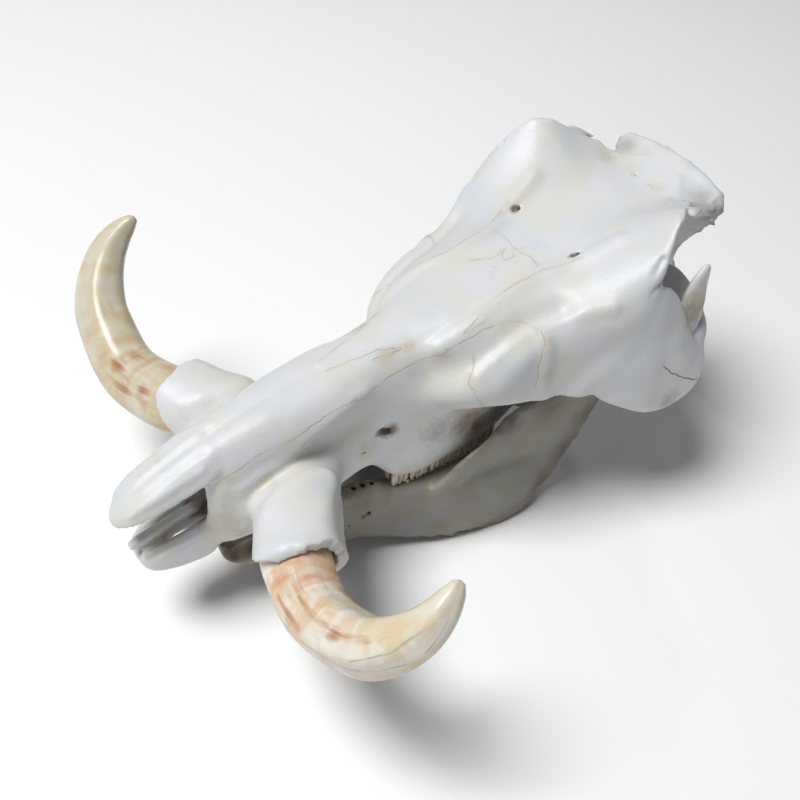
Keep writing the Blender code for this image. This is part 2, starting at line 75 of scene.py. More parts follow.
# Half sections of the skull's core, front to back: x, then (y, z) from the top midline round the outside to
# the bottom midline: the midline, the flat of the roof, its edge, the slope of the cheek, the lip of the
# cheek bone, the hollow under it, the wall, the tooth margin and the palate.
CORE_SECTIONS = (
    (352, ((0, 68), (9, 67), (17, 58), (21, 45), (20, 32), (21, 20), (22, 8), (18, -5), (0, -4))),
    (330, ((0, 76), (10, 75), (18, 68), (25, 55), (22, 39), (22, 22), (25, 8), (21, -4), (0, -2))),
    (300, ((0, 84), (11, 82), (19, 78), (28, 67), (24, 49), (23, 28), (28, 10), (24, -3), (0, 0))),
    (270, ((0, 89), (12, 87), (20, 83), (27, 73), (25, 57), (25, 36), (28, 20), (26, 6), (0, 5))),
    (249, ((0, 93), (12, 91), (21, 83), (27, 70), (26, 56), (27, 44), (30, 32), (28, 20), (0, 12))),
    (239, ((0, 96), (12, 94), (21, 84), (26, 69), (27, 55), (28, 42), (32, 28), (30, 15), (0, 9))),
    (229, ((0, 98), (12, 96), (22, 86), (27, 72), (29, 56), (29, 41), (33, 20), (35, -2), (0, 4))),
    (212, ((0, 103), (13, 101), (23, 91), (29, 77), (33, 63), (31, 50), (36, 24), (40, -3), (0, 3))),
    (190, ((0, 109), (22, 107), (42, 98), (52, 84), (55, 63), (38, 54), (36, 26), (40, -3), (0, 4))),
    (170, ((0, 114), (26, 113), (49, 103), (60, 84), (63, 54), (42, 60), (33, 28), (38, -3), (0, 5))),
    (148, ((0, 119), (29, 118), (53, 109), (65, 88), (68, 47), (47, 66), (31, 32), (37, -2), (0, 9))),
    (122, ((0, 124), (33, 124), (62, 120), (77, 99), (80, 37), (54, 74), (33, 46), (27, 12), (0, 26))),
    (98, ((0, 129), (33, 131), (70, 138), (83, 116), (87, 38), (62, 88), (31, 60), (23, 22), (0, 42))),
    (83, ((0, 132), (32, 136), (79, 154), (80, 122), (84, 56), (66, 96), (31, 74), (21, 48), (0, 50))),
    (72, ((0, 134), (31, 138), (77, 168), (56, 144), (43, 124), (37, 100), (31, 78), (21, 55), (0, 53))),
    (60, ((0, 136), (29, 140), (70, 176), (50, 147), (40, 122), (37, 100), (33, 78), (23, 56), (0, 54))),
    (44, ((0, 138), (27, 142), (57, 160), (45, 142), (39, 120), (36, 98), (33, 78), (25, 55), (0, 54))),
    (28, ((0, 140), (25, 142), (49, 152), (37, 136), (33, 117), (33, 98), (33, 78), (26, 55), (0, 54))),
    (14, ((0, 142), (19, 145), (36, 145), (38, 133), (32, 117), (28, 99), (30, 77), (27, 55), (0, 54))),
    (2, ((0, 147), (25, 147), (45, 146), (47, 132), (37, 114), (25, 97), (26, 78), (24, 57), (0, 55))),
    (-9, ((0, 154), (24, 151), (45, 145), (46, 129), (33, 112), (19, 97), (19, 79), (18, 62), (0, 60))),
    (1, ((0, 138), (15, 136), (28, 131), (28, 120), (20, 107), (13, 96), (12, 80), (10, 66), (0, 64))),
)

# The nasal bones (x, half width, top, edge, underside) and the beak of the two front jaw bones (x, half
# width, top, underside).
NASAL_SECTIONS = (
    (338, 21, 74, 60, 64),
    (356, 19.5, 68, 51, 59),
    (374, 17.5, 60, 45, 53),
    (388, 14.5, 51, 39, 44),
    (394, 10.5, 47, 35, 40),
    (398.6, 2.8, 40, 33, 35),
)
BEAK_SECTIONS = (
    (338, 23, 20, -7),
    (356, 20, 16, -9),
    (374, 17, 9, -9),
    (387, 12, 5, -7),
)

# The cheek arch stands as a thin plate under and behind the eye: x, then (y, z) of its upper and its lower
# edge, and half its thickness. Behind it the arch turns inwards as a limb, whose points hold x, y, z, half
# thickness across and half height, as all the limbs below do. The spike behind the right eye is broken short.
ARCH_PLATE = (
    (122, (62, 106), (70, 53), 8),
    (98, (73, 121), (85, 43), 7),
    (82, (76, 129), (90, 35), 7),
    (72, (75, 124), (90, 32), 6.5),
    (63, (77, 114), (91.5, 31), 6.5),
    (55, (80, 98), (92, 33), 6.5),
    (48, (82, 84), (93, 37), 6.5),
    (41, (83, 74), (94, 45), 6.5),
    (33, (82, 72), (90, 56), 6),
)
ARCH_ROOT = (
    (42, 84, 67, 8, 10),
    (31, 74, 74, 10, 11),
    (29, 60, 83, 13, 9),
    (27, 44, 87, 14, 10),
    (26, 30, 88, 14, 10),
)
ORBIT_PROCESS = (
    (47, 79, 76, 12, 4.5),
    (47, 78, 98, 12.5, 4),
    (49, 77, 112, 11, 3.5),
    (46, 77, 123, 6.5, 2.8),
    (44, 77, 131, 2, 2),
)
ORBIT_STUMP = ((47, 79, 76, 12, 4.5), (47, 78, 96, 12, 4), (48, 77, 108, 7, 3), (47, 77, 115, 2, 2))
BROW_SPIKE = ((46, 55, 153, 5, 4), (34, 51, 149, 4, 3), (24, 47, 145, 1.5, 1.5))
THROAT_PROCESS = ((12, 30, 78, 9, 8), (10, 33, 58, 7, 6), (12, 32, 36, 5, 5), (14, 31, 16, 3, 3))
PTERYGOID = ((130, 26, 40, 20, 6), (117, 25, 22, 17, 5), (106, 25, 7, 10, 4), (100, 26, -3, 5, 3))

# The sleeve round the tusk: y, middle x, middle z, half length, half height, and how far the ring leans back
# for each millimetre of its length.
SLEEVE_SECTIONS = (
    (12, 297, 29, 33, 24, 0.0),
    (28, 299, 32, 29, 23, 0.1),
    (44, 307, 33, 26, 23.5, 0.25),
    (58, 316, 34, 24, 25, 0.4),
    (70, 323, 33.5, 24, 25.5, 0.45),
    (79, 328.5, 33, 25, 26, 0.5),
    (86, 331, 33, 25, 26, 0.5),
)

# The left tusk's centre line and radius, from its root in the sleeve to its tip.
TUSK_LINE = (
    (311, 42, 32, 13.0),
    (318, 54, 33, 17.0),
    (325, 68, 34, 20.4),
    (331, 86, 32, 19.9),
    (335, 103, 32, 19.1),
    (336, 118, 36, 18.4),
    (335, 133, 43, 17.7),
    (333, 147, 52, 16.8),
    (327, 158, 64, 15.0),
    (319, 165, 76, 12.6),
    (311, 167, 86, 10.4),
    (304, 166, 94, 7.6),
    (300.4, 164.7, 98.2, 4.8),
    (299.2, 164.2, 99.6, 3.4),
    (298.7, 164, 100.2, 1.2),
)

# Openings: nasal passage (x, half width, top, underside), the vault under the front of the palate (x, half
# width, top), the slits through it (x, y, half length, half width) and the hole for the spinal cord (x, z,
# radius). The vault and the slits are cut from below the bone.
NASAL_PASSAGE = (
    (392, 12, 48, 9), (366, 14, 50, 12.5), (350, 15, 52, 14), (325, 13, 54, 13), (296, 10, 50, 14),
    (282, 6, 44, 20),
)
PALATE_VAULT = ((382, 5, -2), (370, 9, 3), (356, 12, 5), (340, 11, 4), (324, 7, -1))
PALATE_SLIT = (357.5, 5.0, 14, 3.2)
BELOW = -20
SLIT_LEVELS = (BELOW, -4, 8, 20)
SPINE_HOLE = ((-20, 78, 10), (0, 80, 9.5), (16, 82, 8), (24, 82, 4))

# Nerve holes on the left side: where each enters and ends, and its radius.
NERVE_HOLES = (
    ((113, 28, 132), (97, 27, 121), 2.0),
    ((247, 32, 46), (224, 18, 44), 3.3),
    ((242, 31, 44), (224, 20, 42), 2.4),
    ((25, 8, 146), (24, 7, 138), 0.9),
    ((256, 30, 36), (246, 24, 34), 0.9),
)

# Relief: lines along the surface, the width over which each is felt, and how deep it sinks the bone there. A
# negative depth raises it. The first ones lie on both sides, the last ones on the midline.
RELIEF = (
    (((212, 33, 83), (199, 38, 87), (190, 43, 91), (168, 46, 101), (155, 45, 107), (136, 50, 113)), 9, 4.4),
    (((204, 27, 95), (178, 28, 108), (164, 24, 113), (147, 24, 118), (131, 25, 122), (107, 32, 129),
      (85, 38, 139)), 6, -2.4),
    (((191, 47, 85), (175, 49, 98), (157, 49, 106), (139, 55, 111), (120, 63, 116), (113, 69, 119)), 5, -2.0),
    (((198, 45, 70), (179, 56, 78), (166, 57, 92)), 13, -2.6),
    (((150, 57, 101), (150, 63, 87), (151, 65, 74), (140, 56, 40)), 5, -1.8),
    (((139, 71, 75), (126, 75, 85), (118, 77, 89), (96, 84, 91)), 20, 4.2),
    (((112, 84, 60), (90, 90, 60)), 16, 1.6),
    (((138, 71, 60), (128, 75, 76), (116, 79, 88), (104, 83, 96)), 7, 1.6),
    (((67, 91, 85), (57, 95, 72)), 9, -1.6),
    (((250, 21, 80), (259, 22, 78), (289, 24, 66), (306, 24, 57), (321, 25, 53), (333, 24, 47)), 4, -1.6),
    (((250, 28, 60), (275, 26, 53), (300, 25, 47), (314, 30, 46)), 11, 3.2),
    (((332, 44, 54), (318, 42, 57), (302, 42, 57), (290, 42, 53)), 9, -1.6),
    (((286, 46, 50), (302, 63, 56), (312, 75, 58)), 8, -1.2),
    (((282, 42, 36), (293, 60, 42), (304, 80, 42)), 7, 2.2),
    (((18, 39, 143), (10, 31, 147)), 9, 5.0),
    (((24, 47, 147), (27, 40, 147), (22, 28, 146), (10, 15, 147)), 3, -1.4),
    (((0, 21, 152), (0, 36, 150), (0, 44, 140), (0, 46, 124), (0, 40, 110)), 4, -1.2),
    (((102, 28, 130), (120, 27, 124), (150, 24, 117), (190, 22, 107), (225, 18, 96)), 2.4, 0.7),
    (((62, 62, 160), (70, 68, 146), (76, 71, 132)), 5, -1.4),
    (((30, 20, 139), (70, 24, 132), (110, 16, 124)), 22, 2.2),
    (((387, 2.2, 4.5), (368, 1.2, 12), (350, 1, 14)), 1.5, -1.6),
    (((386, 8, 5), (372, 9.5, 11), (354, 11, 14)), 1.9, -1.4),
    (((386, 12, 5), (374, 16, 9), (360, 19, 14)), 2.2, -1.2),
    (((382, 10.5, 6), (368, 13, 11), (354, 15, 14)), 2.2, 1.6),
    (((398, 9, 43), (376, 13, 54), (350, 15, 64)), 2.2, -1.0),
    (((396, 5, 46), (372, 7, 59), (345, 8, 69)), 2.6, 0.9),
    (((388, 8, 52), (352, 10, 66), (310, 11, 79)), 7, -1.0),
    (((300, 22, 8), (262, 26, 6)), 6, 1.6),
)
MIDLINE_RELIEF = (
    (((404, 0, 41), (390, 0, 50), (377, 0, 57), (346, 0, 70), (316, 0, 79), (270, 0, 89)), 2.6, 1.5),
    (((390, 0, 2), (366, 0, 8), (348, 0, 13)), 1.5, 2.2),
    (((392, 0, 2), (384, 0, 3)), 2.8, 4.0),
)

# Nicks in the rim of the eye socket and a pit in the cheek, as the relief above.
NICKS = (
    (((90, 74, 138), (82, 71, 144)), 1.5, 3.0),
    (((92, 79, 127), (82, 75, 133)), 1.5, 3.0),
    (((137, 56, 42), (131, 55, 34)), 1.8, 4.0),
)
# The ridge of bone in the floor of the nose: x and z, how far its halves stand off the midline, and their
# half width and half height. The rough crest: a line, the width over which it is rough, the cells between its
# bumps and their depth.
NOSE_RIDGE = ((391, 9), (378, 12), (365, 15), (352, 18.5), (338, 20))
RIDGE_Y, RIDGE_WIDE, RIDGE_HIGH = 1.4, 2.0, 3.2
CREST_ROUGH = (
    (((2, 44, 142), (-2, 42, 118), (2, 34, 100)), 9, 3, 1.6),
    (((-8, 20, 152), (-8, 0, 154)), 6, 3, 0.9),
)

# Seams where the skull's bones have grown together, on the left side: nose and upper jaw, nose and forehead,
# the loops round the cheek bone, and short marks on the roof.
SEAMS = (
    ((339, 19, 56), (319, 21, 65), (299, 22, 68), (279, 22, 74), (261, 21, 77), (242, 22, 80), (232, 22, 84),
     (212, 26, 90), (201, 30, 94), (178, 28, 108), (164, 24, 113), (147, 24, 118), (131, 25, 122),
     (111, 32, 127)),
    ((236, 13, 92), (227, 15, 93), (219, 16, 95)),
    ((200, 30, 96), (179, 34, 104), (164, 39, 108), (155, 45, 109), (150, 53, 105), (151, 57, 100),
     (156, 61, 88), (156, 63, 77)),
    ((191, 43, 91), (194, 46, 80), (187, 52, 66)),
    ((153, 8, 117), (144, 2, 119), (137, 4, 121)),
    ((128, 4, 123), (126, 11, 123), (128, 18, 123)),
    ((219, 16, 95), (236, 9, 93), (262, 5, 90)),
)
CRACKS = (((72, 93, 70), (67, 95, 65), (58, 97, 59), (47, 97, 54)),)

# Spots on the left side: middle, radius and strength. Tan stains, and tan painted shade on the bar behind
# the eye and along the tooth margin; brown where flesh was last, in openings and on the inner walls, and
# brown painted shade in holes and under the cheek bone; the dry grey crest behind; open pores on the sleeve.
STAINS_AND_SHADE = (
    (232, 14, 92, 7, 1.0), (219, 16, 95, 5, 0.7), (25, 11, 142, 9, 0.6), (31, 28, 144, 8, 0.8),
    (12, 44, 140, 7, 0.5), (150, 55, 103, 8, 0.6), (150, 64, 80, 8, 0.7), (176, 55, 72, 9, 0.6),
    (205, 27, 93, 6, 0.5), (131, 25, 122, 5, 0.5), (339, 20, 54, 6, 0.8), (249, 28, 38, 8, 0.9),
    (318, 26, 44, 10, 0.7), (344, 22, 20, 14, 0.9), (380, 10, 6, 9, 0.7), (88, 76, 140, 6, 0.6),
    (60, 90, 60, 8, 0.5), (240, 30, 14, 9, 0.7), (222, 34, 8, 12, 0.6), (332, 44, 52, 9, 0.4),
    (368, 4, 12, 12, 0.9), (47, 80, 104, 15, 1.1), (205, 36, 6, 12, 0.8), (185, 38, 4, 12, 0.8),
    (120, 78, 70, 10, 0.4), (365, 8, 62, 8, 0.4), (305, 26, 60, 8, 0.35),
)
# Brown spots: partly what the flesh left, partly painted shade in holes, eye sockets and under the cheek bone.
BROWNS_AND_SHADE = (
    (348, 8, 14, 5, 0.9), (344, 5, 20, 9, 0.9), (330, 0, 30, 20, 1.0), (330, 32, 10, 12, 0.6),
    (108, 27, 127, 3.2, 1.0), (234, 29, 46, 6, 0.9), (60, 58, 118, 16, 0.7), (50, 70, 96, 18, 0.75),
    (66, 64, 100, 16, 0.7), (24, 46, 138, 6, 0.9), (170, 40, 24, 12, 1.0), (150, 44, 30, 18, 0.9),
    (190, 42, 52, 14, 0.55), (62, 90, 42, 12, 0.55), (0, 0, 80, 16, 0.8), (160, 0, 20, 40, 0.4),
    (110, 20, 50, 30, 0.5), (203, 40, 36, 18, 0.5), (180, 42, 34, 18, 0.8), (236, 28, 45, 5, 1.0),
)
CRESTS = (
    (8, 34, 143, 9, 0.9), (0, 44, 132, 12, 1.0), (-4, 40, 112, 12, 0.9), (0, 30, 96, 12, 0.8),
    (-6, 12, 152, 10, 0.4), (10, 34, 30, 14, 0.4),
)
PORES = ((332, 76, 52, 9, 0.8), (322, 82, 57, 7, 0.6), (344, 62, 46, 7, 0.6))


def at(point):
    """A point of the skull's own frame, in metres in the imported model's frame."""
    x, y, z = point
    return Vector(((x - DATUM_X) * MM, y * MM, (z - TABLE_Z) * MM))


def put(name, data):
    """A new object in the scene, at the origin and unturned."""
    obj = bpy.data.objects.new(name, data)
    bpy.context.scene.collection.objects.link(obj)
    return obj


def settle(obj, name):
    """Trades an object for one of the given name that holds what its modifiers make of it."""
    finished = bpy.data.meshes.new_from_object(obj.evaluated_get(bpy.context.evaluated_depsgraph_get()))
    finished.name = name
    bpy.data.objects.remove(obj, do_unlink=True)
    return put(name, finished)


def whole_ring(x, half):
    """A full ring at x from a half section that starts and ends on the midline."""
    return [(x, y, z) for y, z in half] + [(x, -y, z) for y, z in reversed(half[1:-1])]


def oval(centre, across, up, half_across, half_up, points=16, square=1.0):
    """A ring of points in the plane of two directions; square below 1 fills its corners."""
    ring = []
    for i in range(points):
        turn = 2 * math.pi * i / points
        side = math.copysign(abs(math.cos(turn)) ** square, math.cos(turn))
        rise = math.copysign(abs(math.sin(turn)) ** square, math.sin(turn))
        ring.append(tuple(Vector(centre) + across * half_across * side + up * half_up * rise))
    return ring


def heading(line, i):
    """The direction of a line at one of its points, whose first three numbers are its place."""
    after = Vector(line[min(i + 1, len(line) - 1)][:3])
    return (after - Vector(line[max(i - 1, 0)][:3])).normalized()


def limb(line, flat_up=UP, square=1.0):
    """Oval rings along a bone whose points carry their half thickness across and their half height."""
    rings = []
    for i, (x, y, z, thick, high) in enumerate(line):
        along = heading(line, i)
        up = (flat_up - along * flat_up.dot(along)).normalized()
        rings.append(oval((x, y, z), along.cross(up), up, thick, high, points=12, square=square))
    return rings


def plate(rows):
    """Flat oval rings of a thin plate from its upper and lower edges."""
    rings = []
    for x, (top_y, top_z), (low_y, low_z), half in rows:
        centre = (x, (top_y + low_y) / 2, (top_z + low_z) / 2)
        up = Vector((0, (top_y - low_y) / 2, (top_z - low_z) / 2))
        across = Vector((0, up.z, -up.y)).normalized()
        rings.append(oval(centre, across, up, half, 1.0, square=0.85))
    return rings


def knob(x, y, z, along, across, high):
    """Rings of a rounded knob that grow and shrink along y."""
    rings = []
    for k in (-1.0, -0.6, 0.0, 0.6, 1.0):
        grow = math.sqrt(max(1 - k * k, 0.08))
        rings.append(oval((x, y + k * across, z), FORE, UP, along * grow, high * grow, points=8))
    return rings


def skin_over(rings, rounds=3):
    """The smooth closed skin over a cage of rings, as its points and its four-sided faces."""
    cage = bmesh.new()
    rows = [[cage.verts.new(point) for point in ring] for ring in rings]
    count = len(rows[0])
    for row, following in zip(rows, rows[1:]):
        for i in range(count):
            j = (i + 1) % count
            cage.faces.new((row[i], row[j], following[j], following[i]))
    cage.faces.new(rows[0])
    cage.faces.new(rows[-1])
    bmesh.ops.recalc_face_normals(cage, faces=cage.faces)
    mesh = bpy.data.meshes.new("cage")
    cage.to_mesh(mesh)
    cage.free()
    holder = put("cage", mesh)
    soften = holder.modifiers.new("soften", "SUBSURF")
    soften.levels = rounds
    soften.render_levels = rounds
    smooth = holder.evaluated_get(bpy.context.evaluated_depsgraph_get()).to_mesh()
    points = np.empty(len(smooth.vertices) * 3, np.float32)
    smooth.vertices.foreach_get("co", points)
    corners = np.empty(len(smooth.loops), np.int32)
    smooth.loops.foreach_get("vertex_index", corners)
    bpy.data.objects.remove(holder, do_unlink=True)
    bpy.data.meshes.remove(mesh)
    return points.reshape(-1, 3), corners.reshape(-1, 4).astype(np.uint32)


class Field:
    """A block of space round a bone, even about the midline, with each cell's distance from the bone."""

    def __init__(self, low_x, high_x, half_y, low_z, high_z):
        half = math.ceil(half_y / CELL)
        self.start = [math.floor(low_x / CELL), -half, math.floor(low_z / CELL)]
        self.shape = [math.ceil(high_x / CELL) - self.start[0], 2 * half + 1,
                      math.ceil(high_z / CELL) - self.start[2]]
        self.values = np.full(self.shape, REACH, np.float32)
        self.scale = openvdb.createLinearTransform(voxelSize=CELL)
        self.axes = [(s + np.arange(n, dtype=np.float32)) * CELL for s, n in zip(self.start, self.shape)]

    def distance(self, rings):
        """Distance from the smooth skin over a cage of rings, below 0 inside it."""
        points, faces = skin_over(rings)
        level_set = openvdb.FloatGrid.createLevelSetFromPolygons(
            points, quads=faces, transform=self.scale, halfWidth=REACH / CELL)
        out = np.empty(self.shape, np.float32)
        level_set.copyToArray(out, ijk=self.start)
        return out

    def join(self, rings, blend, both=True):
        """Adds a part, and its mirror image, which flow into the bone over the given width."""
        part = self.distance(rings)
        for other in (part, part[:, ::-1, :]) if both else (part,):
            mix = np.maximum(blend - np.abs(self.values - other), 0.0) / blend
            self.values = np.minimum(self.values, other) - mix * mix * blend / 4

    def carve(self, rings, blend=1.0, both=True):
        """Takes a part away, with an edge that is worn over the given width."""
        part = self.distance(rings)
        for other in (part, part[:, ::-1, :]) if both else (part,):
            mix = np.maximum(blend - np.abs(self.values + other), 0.0) / blend
            self.values = np.maximum(self.values, -other) + mix * mix * blend / 4

    def nearness(self, path, width):
        """1 on a line and falling off over the width, with the block of cells that feels it."""
        line = np.asarray(path, np.float32)
        cut = []
        for axis in range(3):
            low = int((line[:, axis].min() - width * 2.5) / CELL) - self.start[axis]
            high = int((line[:, axis].max() + width * 2.5) / CELL) - self.start[axis] + 2
            cut.append(slice(max(low, 0), min(max(high, 1), self.shape[axis])))
        x, y, z = np.ix_(*[self.axes[axis][cut[axis]] for axis in range(3)])
        best = np.float32(1e6)
        for a, b in zip(line, line[1:]):
            run = b - a
            t = np.clip(((x - a[0]) * run[0] + (y - a[1]) * run[1] + (z - a[2]) * run[2]) / (run @ run), 0, 1)
            gap = (x - a[0] - t * run[0]) ** 2 + (y - a[1] - t * run[1]) ** 2 + (z - a[2] - t * run[2]) ** 2
            best = np.minimum(best, gap)
        return tuple(cut), np.exp(-best / width ** 2)

    def felt(self, path, width, both=True):
        """The cells that feel a line, and those that feel its mirror image, with how near they lie."""
        for side in (1, -1) if both else (1,):
            yield self.nearness([(x, side * y, z) for x, y, z in path], width)

    def wear(self, path, width, depth, both=True):
        """Sinks the surface along a line by depth, or raises it where depth is below 0."""
        for cut, near in self.felt(path, width, both):
            self.values[cut] += depth * near

    def bore(self, path, radius):
        """Takes a round hole away along a line."""
        for cut, near in self.felt(path, radius):
            gap = radius * (np.sqrt(-np.log(np.maximum(near, 1e-9))) - 1)
            self.values[cut] = np.maximum(self.values[cut], -gap)

    def roughen(self, path, width, grain, depth):
        """Pits and knobs the surface along a line, with a bump for every so many cells."""
        for cut, near in self.felt(path, width):
            self.values[cut] += depth * near * lumps(near.shape, grain, 11)

    def surface(self):
        """The bone's surface as points in millimetres and four-sided faces."""
        level_set = openvdb.FloatGrid(background=REACH)
        level_set.copyFromArray(np.ascontiguousarray(self.values), ijk=self.start)
        level_set.transform = self.scale
        points, _, quads = level_set.convertToPolygons(isovalue=0.0, adaptivity=0.0)
        return points, quads

    def enclosure(self, points, radius):
        """How far the bone closes in on each point: about 0 on flat bone, up to 1 deep in a hollow."""
        cells = max(int(radius / CELL), 1)
        open_space = np.clip(self.values / radius, -1, 1)
        for axis in range(3):
            total = np.cumsum(open_space, axis=axis, dtype=np.float32)
            count = self.shape[axis]
            high = np.minimum(np.arange(count) + cells, count - 1)
            low = np.maximum(np.arange(count) - cells, 0)
            open_space = (np.take(total, high, axis) - np.take(total, low, axis)) / (2 * cells)
        place = points / CELL - np.array(self.start)
        base = np.clip(np.floor(place).astype(int), 0, np.array(self.shape) - 2)
        part = (place - base).astype(np.float32)
        out = np.zeros(len(points), np.float32)
        for corner in range(8):
            step = np.array([corner & 1, corner >> 1 & 1, corner >> 2])
            share = np.prod(np.where(step, part, 1 - part), axis=1)
            out += share * open_space[tuple((base + step).T)]
        return np.clip(-out * 2.5, 0, 1)


def lumps(shape, cell, seed):
    """Smooth random numbers round 0 over a block, with one bump for every so many cells."""
    out = np.random.default_rng(seed).uniform(-1, 1, [n // cell + 3 for n in shape]).astype(np.float32)
    for axis, count in enumerate(shape):
        place = np.arange(count) / cell
        low = place.astype(int)
        part = place - low
        part = (part * part * (3 - 2 * part)).astype(np.float32)
        part = part.reshape([-1 if a == axis else 1 for a in range(3)])
        out = np.take(out, low, axis) * (1 - part) + np.take(out, low + 1, axis) * part
    return out


def tusk_rings(extra, count):
    """Round rings along the first points of the tusk's line, for the hollow it stands in."""
    rings = []
    for i, (x, y, z, radius) in enumerate(TUSK_LINE[:count]):
        along = heading(TUSK_LINE, i)
        across = along.cross(UP).normalized()
        rings.append(oval((x, y, z), across, across.cross(along), radius + extra, radius + extra))
    return rings


def bone_mesh(name, field, most):
    """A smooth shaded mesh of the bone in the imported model's frame, thinned to at most so many triangles."""
    points, quads = field.surface()
    mesh = bpy.data.meshes.new(name)
    placed = (points - np.array((DATUM_X, 0.0, TABLE_Z))) * MM
    mesh.vertices.add(len(placed))
    mesh.vertices.foreach_set("co", placed.astype(np.float32).ravel())
    mesh.loops.add(quads.size)
    mesh.loops.foreach_set("vertex_index", quads.astype(np.int32).ravel())
    mesh.polygons.add(len(quads))
    mesh.polygons.foreach_set("loop_start", np.arange(0, quads.size, 4, dtype=np.int32))
    mesh.update(calc_edges=True)
    bm = bmesh.new()
    bm.from_mesh(mesh)
    bmesh.ops.recalc_face_normals(bm, faces=bm.faces)
    bm.to_mesh(mesh)
    bm.free()
    obj = put(name, mesh)
    ease = obj.modifiers.new("ease", "SMOOTH")
    ease.factor = 0.5
    ease.iterations = 2
    if len(quads) * 2 > most:
        thin = obj.modifiers.new("thin", "DECIMATE")
        thin.ratio = most / (len(quads) * 2)
    obj = settle(obj, name)
    obj.data.shade_smooth()
    return obj


def places_on(obj):
    """A mesh's points in the skull's own frame, and the directions that it faces there."""
    points = np.empty(len(obj.data.vertices) * 3, np.float32)
    obj.data.vertices.foreach_get("co", points)
    facing = np.empty(len(obj.data.vertices) * 3, np.float32)
    obj.data.vertex_normals.foreach_get("vector", facing)
    return points.reshape(-1, 3) / MM + np.array((DATUM_X, 0.0, TABLE_Z), np.float32), facing.reshape(-1, 3)


def trace(points, facing, paths, sides):
    """How far each point lies from the nearest line: across that line with a sign, and in all."""
    nearest = np.full(len(points), 1e6, np.float32)
    across = np.zeros(len(points), np.float32)
    for side in sides:
        for path in paths:
            line = np.array(path, np.float32) * (1, side, 1)
            for a, b in zip(line, line[1:]):
                run = b - a
                t = np.clip(((points - a) @ run) / (run @ run), 0, 1)
                gap = points - a - t[:, None] * run
                reach = np.linalg.norm(gap, axis=1)
                off = np.einsum("ij,ij->i", gap, np.cross(run / np.linalg.norm(run), facing))
                closer = reach < nearest
                nearest[closer] = reach[closer]
                across[closer] = off[closer]
    return across, nearest


def spots(points, places, sides=(1, -1)):
    """Soft round spots, from x, y, z, radius and strength."""
    out = np.zeros(len(points), np.float32)
    for side in sides:
        for x, y, z, radius, strength in places:
            gap = np.linalg.norm(points - np.array((x, side * y, z), np.float32), axis=1)
            out = np.maximum(out, strength * np.exp(-(gap / radius) ** 2))
    return out


def keep(obj, name, values):
    """Stores one number for each point of a mesh, which its material reads by name."""
    layer = obj.data.attributes.new(name, "FLOAT", "POINT")
    layer.data.foreach_set("value", np.asarray(values, np.float32))


def linear(code):
    """A hex colour as the shader's linear red, green, blue and alpha."""
    parts = [int(code[i:i + 2], 16) / 255 for i in (1, 3, 5)]
    return (*[p / 12.92 if p <= 0.04045 else ((p + 0.055) / 1.055) ** 2.4 for p in parts], 1.0)


def plug(tree, node, sockets):
    """Gives each named socket of a node a value or another node's output."""
    for key, value in sockets.items():
        if isinstance(value, bpy.types.NodeSocket):
            tree.links.new(value, node.inputs[key])
        else:
            node.inputs[key].default_value = value


def add(tree, kind, sockets=None, out=0, **settings):
    """Adds a node with its sockets and settings, and gives one of its outputs, or the node itself."""
    node = tree.nodes.new(kind)
    for name, value in settings.items():
        setattr(node, name, value)
    plug(tree, node, sockets or {})
    return node if out is None else node.outputs[out]


def lay(tree, colour, layers):
    """Lays colours over one another, each where a value climbs from low to high, and up to its most."""
    for value, low, high, most, code in layers:
        share = add(tree, "ShaderNodeMapRange", {0: value, 1: low, 2: high, 3: 0.0, 4: most})
        colour = add(tree, "ShaderNodeMix", {0: share, 6: colour, 7: linear(code)}, 2, data_type="RGBA")
    return colour


def new_finish(name):
    """A new material and its node tree."""
    finish = bpy.data.materials.new(name)
    finish.use_nodes = True
    return finish, finish.node_tree


def read_marks(tree, names):
    """The marks that were kept on a mesh, by name."""
    return {name: add(tree, "ShaderNodeAttribute", out="Fac", attribute_name=name) for name in names}


def dress(tree, colour, height, gloss, ior, strength=1.0, distance=MM):
    """Gives a material its colour, the bump of a height, its roughness and its refraction."""
    bump = add(tree, "ShaderNodeBump", {"Height": height, "Strength": strength, "Distance": distance})
    plug(tree, tree.nodes["Principled BSDF"], {"Base Color": colour, "Normal": bump, "Roughness": gloss,
                                               "IOR": ior})


